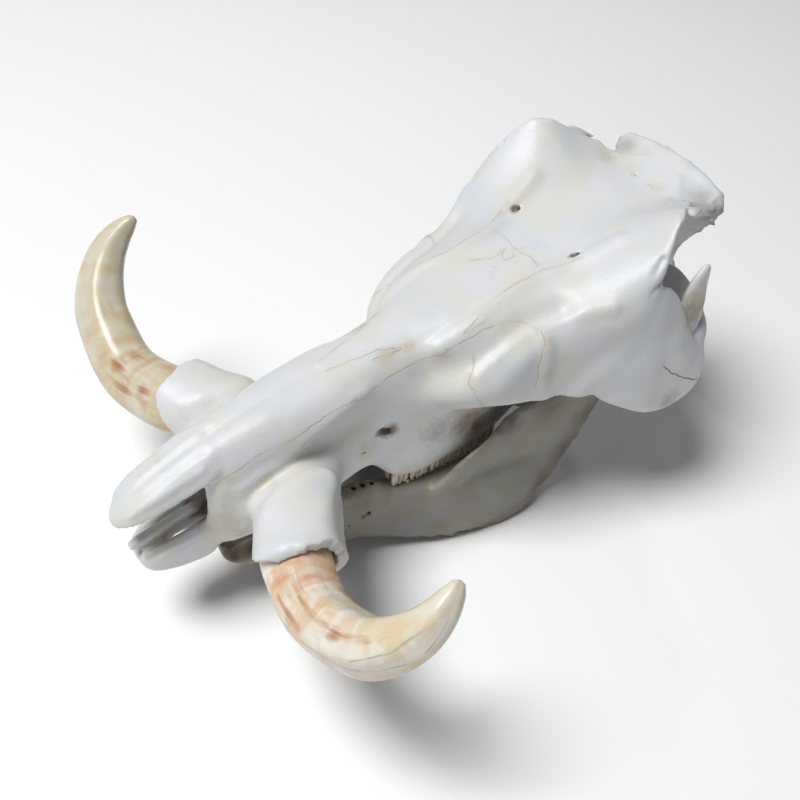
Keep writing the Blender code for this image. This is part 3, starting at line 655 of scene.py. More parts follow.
def bone_finish(name, pale, cream, cold, tan, brown, grey):
    """Dry bone: chalky and fibrous, satin where dense, tan along seams, brown stain and painted shade in
    hollows.
    """
    finish, tree = new_finish(name)
    place = add(tree, "ShaderNodeTexCoord", out="Object")
    mm = add(tree, "ShaderNodeMapping", {"Vector": place, "Scale": (1000, 1000, 1000)})
    drawn = add(tree, "ShaderNodeMapping", {"Vector": place, "Scale": (45, 650, 650)})
    mark = read_marks(tree, ("seam", "seam_near", "crack", "crack_near", "stain", "brown", "crest", "pores",
                             "hollow_shade_and_stain"))

    # Clouds of cream 30 mm across and of colder bone 50 mm across, fibres 1.5 mm wide that run along the
    # skull, flecks 6 mm across, the wander of the seams and the gaps in them, fine chalk, and rough knobs.
    noise = {}
    for word, where, scale, detail, rough, twist in (
        ("cream", mm, 0.032, 4, 0.6, 0.0),
        ("cold", mm, 0.021, 3, 0.5, 0.6),
        ("fibre", drawn, 1.0, 3, 0.6, 0.0),
        ("fleck", mm, 0.16, 5, 0.65, 0.0),
        ("wander", mm, 0.25, 3, 0.6, 0.0),
        ("gap", mm, 0.07, 2, 0.5, 0.0),
        ("chalk", mm, 0.9, 4, 0.6, 0.0),
        ("knob", mm, 0.35, 5, 0.7, 0.0),
    ):
        noise[word] = add(tree, "ShaderNodeTexNoise", {"Vector": where, "Scale": scale, "Detail": detail,
                                                       "Roughness": rough, "Distortion": twist})

    # A seam is a hair line that wanders by up to 1.5 mm, with a soft tan shadow 3.5 mm to each side.
    offset = add(tree, "ShaderNodeMath", {0: noise["wander"], 1: 3.0, 2: -1.5}, operation="MULTIPLY_ADD")
    line = {}
    for word, kind, low, high, most in (("seam", "seam", 0.15, 0.5, 1.0), ("seam", "shadow", 0.0, 3.5, 0.15),
                                        ("crack", "crack", 0.12, 0.4, 1.0)):
        off = add(tree, "ShaderNodeMath", {0: mark[word], 1: offset}, operation="ADD")
        off = add(tree, "ShaderNodeMath", {0: off}, operation="ABSOLUTE")
        thin = add(tree, "ShaderNodeMapRange", {0: off, 1: low, 2: high, 3: most, 4: 0.0})
        line[kind] = add(tree, "ShaderNodeMath", {0: thin, 1: mark[word + "_near"]}, operation="MULTIPLY")
    gap = add(tree, "ShaderNodeMapRange", {0: noise["gap"], 1: 0.38, 2: 0.58, 3: 0.25, 4: 1.0})
    seam = add(tree, "ShaderNodeMath", {0: line["seam"], 1: gap}, operation="MULTIPLY")

    # Stains break up into flecks at their edges, as do the painted shade in hollows and the brown spots, which
    # are partly the last brown of the flesh and partly painted shade.
    loose = add(tree, "ShaderNodeMath", {0: noise["fleck"], 1: 1.2, 2: -0.6}, operation="MULTIPLY_ADD")
    ragged = {}
    for word, share in (("stain", 1.0), ("hollow_shade_and_stain", 0.25), ("brown", 0.5)):
        ragged[word] = add(tree, "ShaderNodeMath", {0: loose, 1: share, 2: mark[word]},
                           operation="MULTIPLY_ADD")
    colour = lay(tree, linear(pale), (
        (noise["cream"], 0.42, 0.66, 0.85, cream),
        (noise["cold"], 0.5, 0.7, 0.8, cold),
        (noise["fibre"], 0.5, 0.8, 0.35, cream),
        # Tan spots, tinted hollows and brown spots: partly stain, partly painted shade.
        (ragged["stain"], 0.25, 1.0, 0.6, tan),
        (mark["crest"], 0.15, 0.9, 0.85, grey),
        (ragged["hollow_shade_and_stain"], 0.15, 0.9, 0.7, tan),
        (ragged["brown"], 0.25, 0.85, 0.9, brown),
        (line["shadow"], 0.0, 1.0, 1.0, tan),
        (seam, 0.0, 1.0, 0.42, "#A79D82"),
        (line["crack"], 0.0, 1.0, 1.0, "#55524C"),
    ))

    # Relief in millimetres: fibres, chalk, seams, cracks, the rough crest and open pores 1.4 mm apart.
    knobs = add(tree, "ShaderNodeMath", {0: noise["knob"], 1: mark["crest"]}, operation="MULTIPLY")
    pit = add(tree, "ShaderNodeTexVoronoi", {"Vector": mm, "Scale": 0.7})
    pit = add(tree, "ShaderNodeMapRange", {0: pit, 1: 0.12, 2: 0.3, 3: 1.0, 4: 0.0})
    pit = add(tree, "ShaderNodeMath", {0: pit, 1: mark["pores"]}, operation="MULTIPLY")
    height = 0.0
    for relief, rise in ((noise["fibre"], 0.16), (noise["chalk"], 0.1), (seam, -0.18), (line["crack"], -0.6),
                         (knobs, 1.3), (pit, -0.4)):
        height = add(tree, "ShaderNodeMath", {0: relief, 1: rise, 2: height}, operation="MULTIPLY_ADD")
    gloss = 0.34
    for dull, most in ((mark["crest"], 0.3), (noise["chalk"], 0.18), (mark["brown"], 0.2)):
        gloss = add(tree, "ShaderNodeMath", {0: dull, 1: most, 2: gloss}, operation="MULTIPLY_ADD")
    dress(tree, colour, height, gloss, ior=1.5)
    return finish


# Lines are drawn up to this far along the surface from their path, and fade out over the last part of it.
SEAM_END = 6
FADE = 2.5


def mark_bone(obj, field, seams, cracks, **places):
    """Keeps on the mesh where its seams, cracks, hollows and the named kinds of spots are."""
    points, facing = places_on(obj)
    for name, paths, sides in (("seam", seams, (1, -1)), ("crack", cracks, (1,))):
        across, gap = trace(points, facing, paths, sides)
        keep(obj, name, across)
        keep(obj, name + "_near", np.clip((SEAM_END - gap) / FADE, 0, 1))
    for name, found in places.items():
        keep(obj, name, spots(points, found))
    # How closed in each point is, which tints the hollows tan: painted shade, with some stain.
    keep(obj, "hollow_shade_and_stain", np.maximum(field.enclosure(points, 4.0), field.enclosure(points, 11.0)))


bone = Field(low_x=-24, high_x=412, half_y=104, low_z=-16, high_z=176)
bone.values = bone.distance([whole_ring(x, half) for x, half in CORE_SECTIONS])
nasal = []
for x, wide, top, edge, under in NASAL_SECTIONS:
    nasal.append(whole_ring(x, ((0, top), (wide * 0.6, top - 1.5), (wide, edge + 3), (wide - 1, edge - 1),
                                (wide * 0.6, (edge + under) / 2), (0, under))))
bone.join(nasal, 6.0, both=False)
beak = []
for x, wide, top, under in BEAK_SECTIONS:
    beak.append(whole_ring(x, ((0, top), (wide * 0.6, top), (wide, top - 2.5), (wide, under + 2.5),
                               (wide * 0.6, under), (0, under + 1))))
bone.join(beak, 4.0, both=False)
sleeve = []
for y, x, z, half_long, half_high, lean in SLEEVE_SECTIONS:
    sleeve.append(oval((x, y, z), Vector((1, -lean, 0)), UP, half_long, half_high))
for rings, blend in (
    (plate(ARCH_PLATE), 4.0),
    (limb(ARCH_ROOT), 4.0),
    (limb(BROW_SPIKE), 4.0),
    (limb(THROAT_PROCESS, flat_up=SIDE), 5.0),
    (limb(PTERYGOID, flat_up=SIDE), 4.0),
    (sleeve, 12.0),
    (knob(-6, 14, 70, along=9, across=9, high=11), 4.0),
):
    bone.join(rings, blend)
bone.join(limb(ORBIT_PROCESS, flat_up=SIDE), 2.5, both=False)
stump = [[(x, -y, z) for x, y, z in ring] for ring in limb(ORBIT_STUMP, flat_up=SIDE)]
bone.join(stump, 2.5, both=False)
for path, width, depth in RELIEF:
    bone.wear(path, width, depth)
for path, width, depth in MIDLINE_RELIEF:
    bone.wear(path, width, depth, both=False)
bone.values += lumps(bone.shape, cell=22, seed=3) * 0.55 + lumps(bone.shape, cell=8, seed=5) * 0.18
for path, width, grain, depth in CREST_ROUGH:
    bone.roughen(path, width, grain, depth)

passage = []
for x, wide, top, under in NASAL_PASSAGE:
    passage.append(oval((x, 0, (top + under) / 2), SIDE, UP, wide, (top - under) / 2, square=0.7))
bone.carve(passage, 1.5, both=False)
bone.join([oval((x, RIDGE_Y, z), SIDE, UP, RIDGE_WIDE, RIDGE_HIGH) for x, z in NOSE_RIDGE], 2.0)
bone.carve([oval((x, 0, z), SIDE, UP, r, r) for x, z, r in SPINE_HOLE], 2.0, both=False)
bone.carve([oval((x, 0, (top + BELOW) / 2), SIDE, UP, wide, (top - BELOW) / 2)
            for x, wide, top in PALATE_VAULT], 2.0, both=False)
slit_x, slit_y, slit_long, slit_wide = PALATE_SLIT
bone.carve([oval((slit_x, slit_y, z), FORE, SIDE, slit_long, slit_wide) for z in SLIT_LEVELS], 1.5)
bone.carve(tusk_rings(extra=1.4, count=6))
for start, stop, radius in NERVE_HOLES:
    bone.bore((start, stop), radius)
for path, width, depth in NICKS:
    bone.wear(path, width, depth)

# The sleeves end in a thin frayed edge. Seen along the tusk, with 0 degrees at the front and 90 at the top,
# they reach this far out (y), with small teeth of bone along the edge; the right one is worn shorter. Only
# what lies in front of SLEEVE_REAR, under SLEEVE_TOP and outside SLEEVE_START is trimmed.
LEFT_EDGE = ((0, 54), (15, 62), (30, 69), (50, 79), (60, 82), (90, 84), (120, 84.5), (150, 86), (180, 86),
             (210, 82), (240, 76), (270, 66), (300, 56), (330, 50), (360, 54))
RIGHT_EDGE = ((0, 43), (30, 51), (60, 61), (90, 66), (120, 71), (150, 76), (180, 76), (210, 72), (240, 65),
              (270, 55), (300, 46), (330, 41), (360, 43))
SLEEVE_AXIS = (329, 33)
SLEEVE_REAR, SLEEVE_TOP, SLEEVE_START = 288, 74, 40
fray = np.random.default_rng(7).uniform(-1, 1, (2, 361))
fray = np.interp(np.arange(361), np.arange(0, 361, 4), fray[0, :91]) * 0.9 + fray[1] * 0.35
fray[-1] = fray[0]
x, y, z = np.ix_(*bone.axes)
turn = np.degrees(np.arctan2(z - SLEEVE_AXIS[1], x - SLEEVE_AXIS[0])) % 360
left, right = (np.interp(turn, *zip(*edge)) for edge in (LEFT_EDGE, RIGHT_EDGE))
past = np.where(y > 0, y - left, -y - right) - np.interp(turn, np.arange(361), fray)
near = (x > SLEEVE_REAR) & (z < SLEEVE_TOP) & (np.abs(y) > SLEEVE_START)
bone.values = np.where(near, np.maximum(bone.values, past), bone.values).astype(np.float32)

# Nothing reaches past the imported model's box; the bone ends this far within it.
INSIDE = 0.2
low, high = (np.array(corner) / MM + (DATUM_X, 0, TABLE_Z) for corner in cad_box)
for past in (x - high[0], low[0] - x, z - high[2]):
    bone.values = np.maximum(bone.values, past + INSIDE)

cranium = bone_mesh("bleached_cranium", bone, most=190000)
mark_bone(cranium, bone, SEAMS, CRACKS, stain=STAINS_AND_SHADE, brown=BROWNS_AND_SHADE, crest=CRESTS, pores=PORES)
cranium.data.materials.append(bone_finish(
    "bleached bone, dry", pale="#D6D8DB", cream="#D6D3C8", cold="#CCD1D6", tan="#C0B495", brown="#705542",
    grey="#AFAFAB"))
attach(cranium, "root")
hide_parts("cranium")

# Mandible: the lower jaw, one bone whose two halves have fused at the chin. It is made as the cranium is, and
# left greyer, browner and darker, partly its own colour and partly painted shade. Its lower tusks and front
# teeth are gone, and their sockets stand open.

JAW_BODY = (
    (340, 11, -12, 9, 7),
    (324, 15, -17, 12, 11),
    (300, 17, -20, 13, 15),
    (275, 18, -22, 11, 19),
    (254, 20, -25, 10, 23),
    (238, 24, -28, 10, 24),
    (220, 30, -31, 10.5, 25),
    (194, 38, -36, 12, 28),
    (168, 44, -37, 13, 31),
    (142, 48, -38, 10, 30),
    (116, 49, -38, 7, 25),
)
SOCKET_RIDGE = ((268, 20, -8, 6, 6), (252, 23, -3, 6, 6.5), (240, 26, -4, 6, 6), (231, 28, -12, 6, 6))
CHIN = (
    (338, 4, -14, 9, 8),
    (312, 4, -24, 12, 12),
    (288, 5, -30, 12, 15),
    (266, 6, -35, 10, 17),
    (246, 9, -41, 8, 15),
)
TOOTH_SHELF = (
    (226, 25, -19, 8, 12),
    (206, 27, -19, 10, 14),
    (188, 28, -19, 11, 14),
    (170, 29, -19, 11, 14),
    (152, 32, -20, 12, 13),
    (138, 38, -22, 9, 10),
)
# The upright plate seen from the side, then how it stands: its middle at x = RAMUS_AT, how far it swings in
# towards the snout and out towards the top, and half its thickness.
RAMUS_OUTLINE = (
    (215, -24), (206, -8), (197, 5), (187, 12), (178, 18), (171, 27), (165, 37), (156, 43), (138, 46),
    (120, 56), (108, 68), (98, 76), (90, 74), (80, 66), (62, 62), (51, 71), (38, 71), (39, 60), (56, 46),
    (72, 28), (80, 8), (86, -18), (95, -42), (111, -61), (134, -67), (160, -67), (200, -60),
)
RAMUS_AT = 110.0
RAMUS_Y = 53.0
RAMUS_SWING = -0.09
RAMUS_LEAN = 0.05
RAMUS_HALF = 5.0
JAW_JOINT = (44, 58, 70, 8, 12, 6)

# Empty sockets on the left side: of the lower tusk, of the front teeth and of the lost premolars.
LOWER_TUSK_SOCKET = ((346, 27, -6), (334, 25, -10), (318, 22, -15), (304, 20, -18))
FRONT_SOCKETS = (
    ((352, 4, 2), (336, 4, -9), 3.2), ((350, 11, 2), (336, 11, -9), 3.2),
    ((346, 17, 4), (334, 15, -8), 2.6),
)
PREMOLAR_SOCKETS = (
    ((254, 24, 8), (253, 23, -6), 1.7), ((248, 25, 8), (247, 24, -6), 1.7),
    ((242, 26, 7), (241, 25, -7), 1.7),
)
JAW_HOLES = (((249, 34, -19), (238, 24, -22), 1.5), ((262, 32, -25), (252, 24, -26), 0.9))
JAW_RELIEF = (
    (((112, 58, -22), (140, 60, -14), (160, 58, -6)), 20, 2.6),
    (((100, 56, -44), (122, 58, -56), (150, 58, -62)), 6, -2.0),
    (((226, 36, -14), (205, 42, -12), (186, 50, 2)), 7, -2.2),
    (((240, 34, -34), (206, 44, -34)), 12, 1.6),
    (((178, 52, 6), (168, 54, 24), (152, 58, 40)), 5, -1.2),
)
JAW_ROUGH = (
    (((250, 28, -50), (220, 36, -60), (190, 46, -62), (160, 54, -62)), 7, 4, 1.6),
    (((100, 52, -50), (88, 50, -24), (80, 52, 6)), 7, 4, 1.2),
    (((260, 24, -2), (236, 28, -4)), 5, 3, 0.9),
)
JAW_STAINS = (
    (250, 30, -6, 12, 0.8), (236, 32, -10, 10, 0.6), (340, 18, -6, 16, 0.9), (200, 46, -46, 16, 0.5),
    (170, 56, -56, 18, 0.6), (222, 36, -20, 14, 0.3),
)
# Brown spots on the jaw: brown at its back, and painted shade in its sockets and holes and by the cheek teeth.
JAW_BROWNS_AND_SHADE = (
    (86, 55, 10, 22, 0.65), (95, 54, -20, 22, 0.7), (112, 54, -48, 18, 0.6), (130, 58, 40, 20, 0.6),
    (160, 56, 30, 14, 0.7), (146, 56, -58, 14, 0.4), (344, 24, -8, 9, 1.0), (338, 22, -14, 10, 0.9),
    (300, 0, -12, 22, 0.6), (200, 32, 4, 14, 0.6), (190, 38, 8, 12, 0.8), (248, 25, 0, 3.5, 0.5),
    (253, 24, -2, 3, 1.0), (247, 25, -2, 3, 1.0), (241, 26, -2, 3, 1.0), (249, 30, -21, 2.6, 1.0),
)
JAW_SEAMS = (((332, 0, -4), (310, 0, -14), (270, 0, -20)),)
JAW_CRACKS = (((100, 57, -30), (112, 58, -38)),)
JAW_CRESTS = ((200, 44, -60, 10, 0.4), (160, 52, -62, 10, 0.4))
JAW_PORES = ((300, 24, -26, 16, 0.5),)

jaw = Field(low_x=24, high_x=362, half_y=84, low_z=-78, high_z=96)
ramus = []
for side in (-1, 1):
    ramus.append([(x, RAMUS_Y + RAMUS_SWING * max(x - RAMUS_AT, 0.0) + RAMUS_LEAN * z + side * RAMUS_HALF, z)
                  for x, z in RAMUS_OUTLINE])
for rings, blend in (
    (limb(JAW_BODY, square=0.7), 4.0),
    (limb(SOCKET_RIDGE), 3.0),
    (limb(CHIN), 5.0),
    (limb(TOOTH_SHELF, square=0.7), 4.0),
    (ramus, 6.0),
    (knob(*JAW_JOINT), 3.0),
):
    jaw.join(rings, blend)
for path, width, depth in JAW_RELIEF:
    jaw.wear(path, width, depth)
jaw.values += lumps(jaw.shape, cell=20, seed=8) * 0.6 + lumps(jaw.shape, cell=7, seed=9) * 0.22
for path, width, grain, depth in JAW_ROUGH:
    jaw.roughen(path, width, grain, depth)
jaw.bore(LOWER_TUSK_SOCKET, radius=6.5)
for start, stop, radius in FRONT_SOCKETS + PREMOLAR_SOCKETS + JAW_HOLES:
    jaw.bore((start, stop), radius)
jaw.values = np.maximum(jaw.values, TABLE_Z - jaw.axes[2][None, None, :])

mandible = bone_mesh("grey_brown_mandible", jaw, most=150000)
mark_bone(mandible, jaw, JAW_SEAMS, JAW_CRACKS, stain=JAW_STAINS, brown=JAW_BROWNS_AND_SHADE, crest=JAW_CRESTS,
          pores=JAW_PORES)
# Darker than the cranium: partly the jaw's own grey brown, partly painted shade under the cranium.
mandible.data.materials.append(bone_finish(
    "jaw bone, unbleached, darkened by painted shade", pale="#8E8B82", cream="#857C69", cold="#858687", tan="#6E614B", brown="#4C3527",
    grey="#767470"))
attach(mandible, "root")
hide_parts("mandible")

# Upper tusks: curved ivory teeth that grow on without end, round at the root and worn to a blunt tip. Each is
# swept along its bent line with shallow flutes, and stained orange and brown where it leaves its sleeve.

# Lines on the left tusk, drawn up to STREAK_END from their path, and blotches as the spots on the bone.
STREAK_END = 5
IVORY_STREAKS = (
    ((351, 93, 40), (352, 104, 41), (353, 112, 42)),
    ((345, 104, 49), (346, 116, 51), (346, 126, 55)),
    ((347, 132, 57), (344, 142, 63), (340, 151, 68)),
)
IVORY_CRACKS = (
    ((346, 153, 59), (341, 160, 67), (335, 165, 73), (323, 169, 85)),
    ((321, 175, 79), (314, 174, 88)),
    ((354, 123, 40), (351, 140, 46), (345, 157, 54), (333, 170, 66)),
)
IVORY_BLOTCHES = {
    "left": ((347, 134, 58, 6, 0.8), (352, 104, 41, 7, 0.6), (346, 95, 48, 12, 0.5)),
    "right": ((346, 100, 47, 7, 0.9), (350, 89, 41, 8, 0.8), (344, 74, 46, 6, 1.0), (347, 68, 41, 6, 0.8),
              (333, 100, 51, 6, 0.8), (338, 134, 63, 8, 0.5)),
}


def new_tree(name, made, inputs):
    """A new geometry tree with its named inputs and one output, and what it is given."""
    tree = bpy.data.node_groups.new(name, "GeometryNodeTree")
    for label, kind, value in inputs:
        socket = tree.interface.new_socket(label, in_out="INPUT", socket_type="NodeSocket" + kind)
        if value is not None:
            socket.default_value = value
    tree.interface.new_socket(made, in_out="OUTPUT", socket_type="NodeSocketGeometry")
    return tree, tree.nodes.new("NodeGroupInput").outputs


def hand_out(tree, body):
    """Ends a tree: shades its geometry smooth and gives it out as plain mesh."""
    body = add(tree, "GeometryNodeSetShadeSmooth", {"Geometry": body})
    body = add(tree, "GeometryNodeRealizeInstances", {"Geometry": body})
    tree.links.new(body, tree.nodes.new("NodeGroupOutput").inputs[0])
    return tree


def tusk_tree():
    """A tree that sweeps a tusk along a line whose points carry its girth, with its flutes and its grain."""
    tree, given = new_tree("tusk sweep", "Tusk", (
        ("Line", "Geometry", None), ("Step", "Float", 0.0011), ("Flute Depth", "Float", 0.00045),
        ("Wave Depth", "Float", 0.0007), ("Phase", "Float", 0.0), ("Points Round", "Int", 96),
        ("Flat Side", "Vector", None), ("Finish", "Material", None)))
    line = add(tree, "GeometryNodeMeshToCurve", {"Mesh": given["Line"]})
    line = add(tree, "GeometryNodeCurveSplineType", {"Curve": line}, spline_type="CATMULL_ROM")
    line = add(tree, "GeometryNodeResampleCurve", {"Curve": line, "Length": given["Step"]}, mode="LENGTH")
    girth = add(tree, "GeometryNodeInputNamedAttribute", {"Name": "girth"}, "Attribute", data_type="FLOAT")
    along = add(tree, "GeometryNodeCaptureAttribute", {"Geometry": line}, None, domain="POINT")
    along.capture_items.new("FLOAT", "along")
    along.capture_items.new("VECTOR", "centre")
    plug(tree, along, {1: add(tree, "GeometryNodeSplineParameter", out="Length"),
                       2: add(tree, "GeometryNodeInputPosition")})
    ring = add(tree, "GeometryNodeCurvePrimitiveCircle", {"Resolution": given["Points Round"], "Radius": 1.0})
    around = add(tree, "GeometryNodeCaptureAttribute", {"Geometry": ring}, None, domain="POINT")
    around.capture_items.new("FLOAT", "around")
    plug(tree, around, {1: add(tree, "GeometryNodeSplineParameter", out="Factor")})
    body = add(tree, "GeometryNodeCurveToMesh", {
        "Curve": along.outputs[0], "Profile Curve": around.outputs[0], "Scale": girth, "Fill Caps": True})

    # The grain's frame in millimetres: round the tusk as if it were 17 mm thick all along, and along it.
    turn = add(tree, "ShaderNodeMath", {0: around.outputs[1], 1: 2 * math.pi, 2: given["Phase"]},
               operation="MULTIPLY_ADD")
    length = add(tree, "ShaderNodeMath", {0: along.outputs[1], 1: 1 / MM}, operation="MULTIPLY")
    frame_of = {2: length}
    for axis, operation in enumerate(("COSINE", "SINE")):
        wave = add(tree, "ShaderNodeMath", {0: turn}, operation=operation)
        frame_of[axis] = add(tree, "ShaderNodeMath", {0: wave, 1: 17.0}, operation="MULTIPLY")
    grain = add(tree, "ShaderNodeCombineXYZ", frame_of)

    # Five flutes that fade towards the tip, two broad hollows, and slow waves in the girth.
    flutes = -2.2
    for count, shift, depth in ((5.0, 0.7, 1.0), (2.0, 1.9, 1.2)):
        wave = add(tree, "ShaderNodeMath", {0: turn, 1: count, 2: shift}, operation="MULTIPLY_ADD")
        wave = add(tree, "ShaderNodeMath", {0: wave}, operation="COSINE")
        flutes = add(tree, "ShaderNodeMath", {0: wave, 1: depth, 2: flutes}, operation="MULTIPLY_ADD")
    stretch = add(tree, "ShaderNodeVectorMath", {0: grain, 1: (0.08, 0.08, 0.035)}, operation="MULTIPLY")
    wave = add(tree, "ShaderNodeTexNoise", {"Vector": stretch, "Scale": 1.0, "Detail": 2.0})
    wave = add(tree, "ShaderNodeMath", {0: wave, 1: 0.5}, operation="SUBTRACT")
    rise = add(tree, "ShaderNodeMath", {0: flutes, 1: given["Flute Depth"]}, operation="MULTIPLY")
    rise = add(tree, "ShaderNodeMath", {0: wave, 1: given["Wave Depth"], 2: rise}, operation="MULTIPLY_ADD")
    fade = add(tree, "ShaderNodeMath", {0: girth, 1: 60.0}, operation="MULTIPLY", use_clamp=True)
    rise = add(tree, "ShaderNodeMath", {0: rise, 1: fade}, operation="MULTIPLY")
    offset = add(tree, "ShaderNodeVectorMath", {0: add(tree, "GeometryNodeInputNormal"), "Scale": rise},
                 operation="SCALE")
    body = add(tree, "GeometryNodeSetPosition", {"Geometry": body, "Offset": offset})

    # Wear has flattened the last 45 mm by up to a third, across the direction given.
    reach = add(tree, "GeometryNodeInputPosition")
    reach = add(tree, "ShaderNodeVectorMath", {0: reach, 1: along.outputs[2]}, operation="SUBTRACT")
    reach = add(tree, "ShaderNodeVectorMath", {0: reach, 1: given["Flat Side"]}, "Value",
                operation="DOT_PRODUCT")
    worn = add(tree, "ShaderNodeMapRange", {0: length, 1: 150.0, 2: 195.0, 3: 0.0, 4: -0.34})
    worn = add(tree, "ShaderNodeMath", {0: worn, 1: reach}, operation="MULTIPLY")
    offset = add(tree, "ShaderNodeVectorMath", {0: given["Flat Side"], "Scale": worn}, operation="SCALE")
    body = add(tree, "GeometryNodeSetPosition", {"Geometry": body, "Offset": offset})
    body = add(tree, "GeometryNodeStoreNamedAttribute", {"Geometry": body, "Name": "grain", "Value": grain},
               data_type="FLOAT_VECTOR", domain="POINT")
    body = add(tree, "GeometryNodeSetMaterial", {"Geometry": body, "Material": given["Finish"]})
    return hand_out(tree, body)


def grown(name, mesh, tree, values):
    """The plain mesh that a tree makes on a mesh, with the tree's inputs set by name."""
    seed = put(name + "_seed", mesh)
    step = seed.modifiers.new("grow", "NODES")
    step.node_group = tree
    for item in tree.interface.items_tree:
        if item.in_out == "INPUT" and item.name in values:
            step[item.identifier] = values[item.name]
    return settle(seed, name)


def ivory_finish():
    """Tusk ivory, polished by wear: cream dentine, orange and brown streaks near the sleeve, grey cracks."""
    finish, tree = new_finish("tusk ivory, worn smooth")
    grain = add(tree, "ShaderNodeAttribute", out="Vector", attribute_name="grain")
    length = add(tree, "ShaderNodeSeparateXYZ", {0: grain}, 2)
    mark = read_marks(tree, ("streak", "streak_near", "split", "split_near", "blotch", "underside_stain_and_shade", "olive"))

    # Zones 25 mm long, streaks 6 mm wide and 45 mm long, growth bands 9 mm apart that break up into patches
    # 22 mm across, flecks 3 mm wide and 20 mm long, and fine lines along the tusk.
    noise = {}
    for word, around, along, scale, detail, rough in (
        ("zone", 0.05, 0.04, 1.0, 3, 0.5),
        ("streaks", 0.16, 0.022, 1.0, 4, 0.6),
        ("bands", 0.045, 0.11, 1.0, 2, 0.5),
        ("fleck", 0.16, 0.022, 2.2, 4, 0.5),
        ("lines", 0.9, 0.05, 1.0, 3, 0.5),
    ):
        where = add(tree, "ShaderNodeMapping", {"Vector": grain, "Scale": (around, around, along)})
        noise[word] = add(tree, "ShaderNodeTexNoise", {"Vector": where, "Scale": scale, "Detail": detail,
                                                       "Roughness": rough})

    # Streaks and cracks wander and break up with the flecks; the stains thin out from 70 to 125 mm along.
    loose = add(tree, "ShaderNodeMath", {0: noise["fleck"], 1: 1.6, 2: -0.8}, operation="MULTIPLY_ADD")
    flecked = add(tree, "ShaderNodeMapRange", {0: noise["fleck"], 1: 0.36, 2: 0.6, 3: 0.2, 4: 1.0})
    line = {}
    for word, wide, most in (("streak", 3.0, 0.7), ("split", 0.7, 0.6)):
        off = add(tree, "ShaderNodeMath", {0: loose, 1: 1.6, 2: mark[word]}, operation="MULTIPLY_ADD")
        off = add(tree, "ShaderNodeMath", {0: off}, operation="ABSOLUTE")
        share = add(tree, "ShaderNodeMapRange", {0: off, 1: 0.1, 2: wide, 3: most, 4: 0.0})
        for part in (mark[word + "_near"], flecked):
            share = add(tree, "ShaderNodeMath", {0: share, 1: part}, operation="MULTIPLY")
        line[word] = share
    base = {}
    for word, most in (("streaks", 0.7), ("bands", 0.75)):
        base[word] = add(tree, "ShaderNodeMapRange", {0: length, 1: 70.0, 2: 125.0, 3: most, 4: most * 0.12})
    blotch = add(tree, "ShaderNodeMath", {0: mark["blotch"], 1: loose}, operation="ADD")
    colour = lay(tree, linear("#E4DED2"), (
        (noise["zone"], 0.4, 0.62, 1.0, "#D9CAA6"),
        (noise["streaks"], 0.42, 0.66, base["streaks"], "#D5A37C"),
        (noise["bands"], 0.48, 0.68, base["bands"], "#CF946A"),
        (noise["bands"], 0.46, 0.36, 0.6, "#E9E4DA"),
        (mark["olive"], 0.0, 1.0, 1.0, "#B5AF8C"),
        (blotch, 0.3, 1.0, 0.85, "#A5663C"),
        # The underside, darker: partly stain, partly painted shade.
        (mark["underside_stain_and_shade"], 0.0, 1.0, 0.55, "#A08D74"),
        (line["streak"], 0.0, 1.0, 1.0, "#B4703F"),
        (line["split"], 0.0, 1.0, 1.0, "#8C8A8C"),
    ))
    height = add(tree, "ShaderNodeMath", {0: noise["lines"], 1: 0.12}, operation="MULTIPLY")
    height = add(tree, "ShaderNodeMath", {0: line["split"], 1: -0.25, 2: height}, operation="MULTIPLY_ADD")
    gloss = add(tree, "ShaderNodeMapRange", {0: noise["zone"], 1: 0.3, 2: 0.7, 3: 0.2, 4: 0.36})
    dress(tree, colour, height, gloss, ior=1.54)
    return finish


sweep = tusk_tree()
ivory = ivory_finish()
for word, side in (("left", 1), ("right", -1)):
    line = bpy.data.meshes.new("tusk line")
    line.from_pydata([at((x, side * y, z)) for x, y, z, radius in TUSK_LINE],
                     [(i, i + 1) for i in range(len(TUSK_LINE) - 1)], [])
    girth = line.attributes.new("girth", "FLOAT", "POINT")
    girth.data.foreach_set("value", [radius * MM for *place, radius in TUSK_LINE])
    phase = 0.0 if side > 0 else math.pi
    tusk = grown("ivory_tusk_" + word, line, sweep, {"Finish": ivory, "Phase": phase,
                                                     "Flat Side": (0.0, 0.96 * side, 0.28)})
    points, facing = places_on(tusk)
    for name, paths in (("streak", IVORY_STREAKS), ("split", IVORY_CRACKS)):
        across, gap = trace(points, facing, paths, (1,))
        keep(tusk, name, across)
        keep(tusk, name + "_near", np.clip((STREAK_END - gap) / FADE, 0, 1))
    keep(tusk, "blotch", spots(points, IVORY_BLOTCHES[word], (side,)))
    keep(tusk, "olive", np.full(len(points), 0.05 if side > 0 else 0.45))
    # The side that faces forwards and down is duller and browner, from 110 mm off the midline outwards: partly
    # stain, partly painted shade.
    outward = np.clip((np.abs(points[:, 1]) - 110) / 30, 0, 1)
    keep(tusk, "underside_stain_and_shade", outward * np.clip(facing[:, 0] * 0.9 - facing[:, 2] * 0.9 - 0.35, 0, 1))
    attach(tusk, "root")
    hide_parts("tusk_" + word)

# Cheek teeth: bundles of tall enamel columns round a brown filling of cement, which show as upright ribs on
# both sides. They stand in their own sockets, three above and two below on each side.

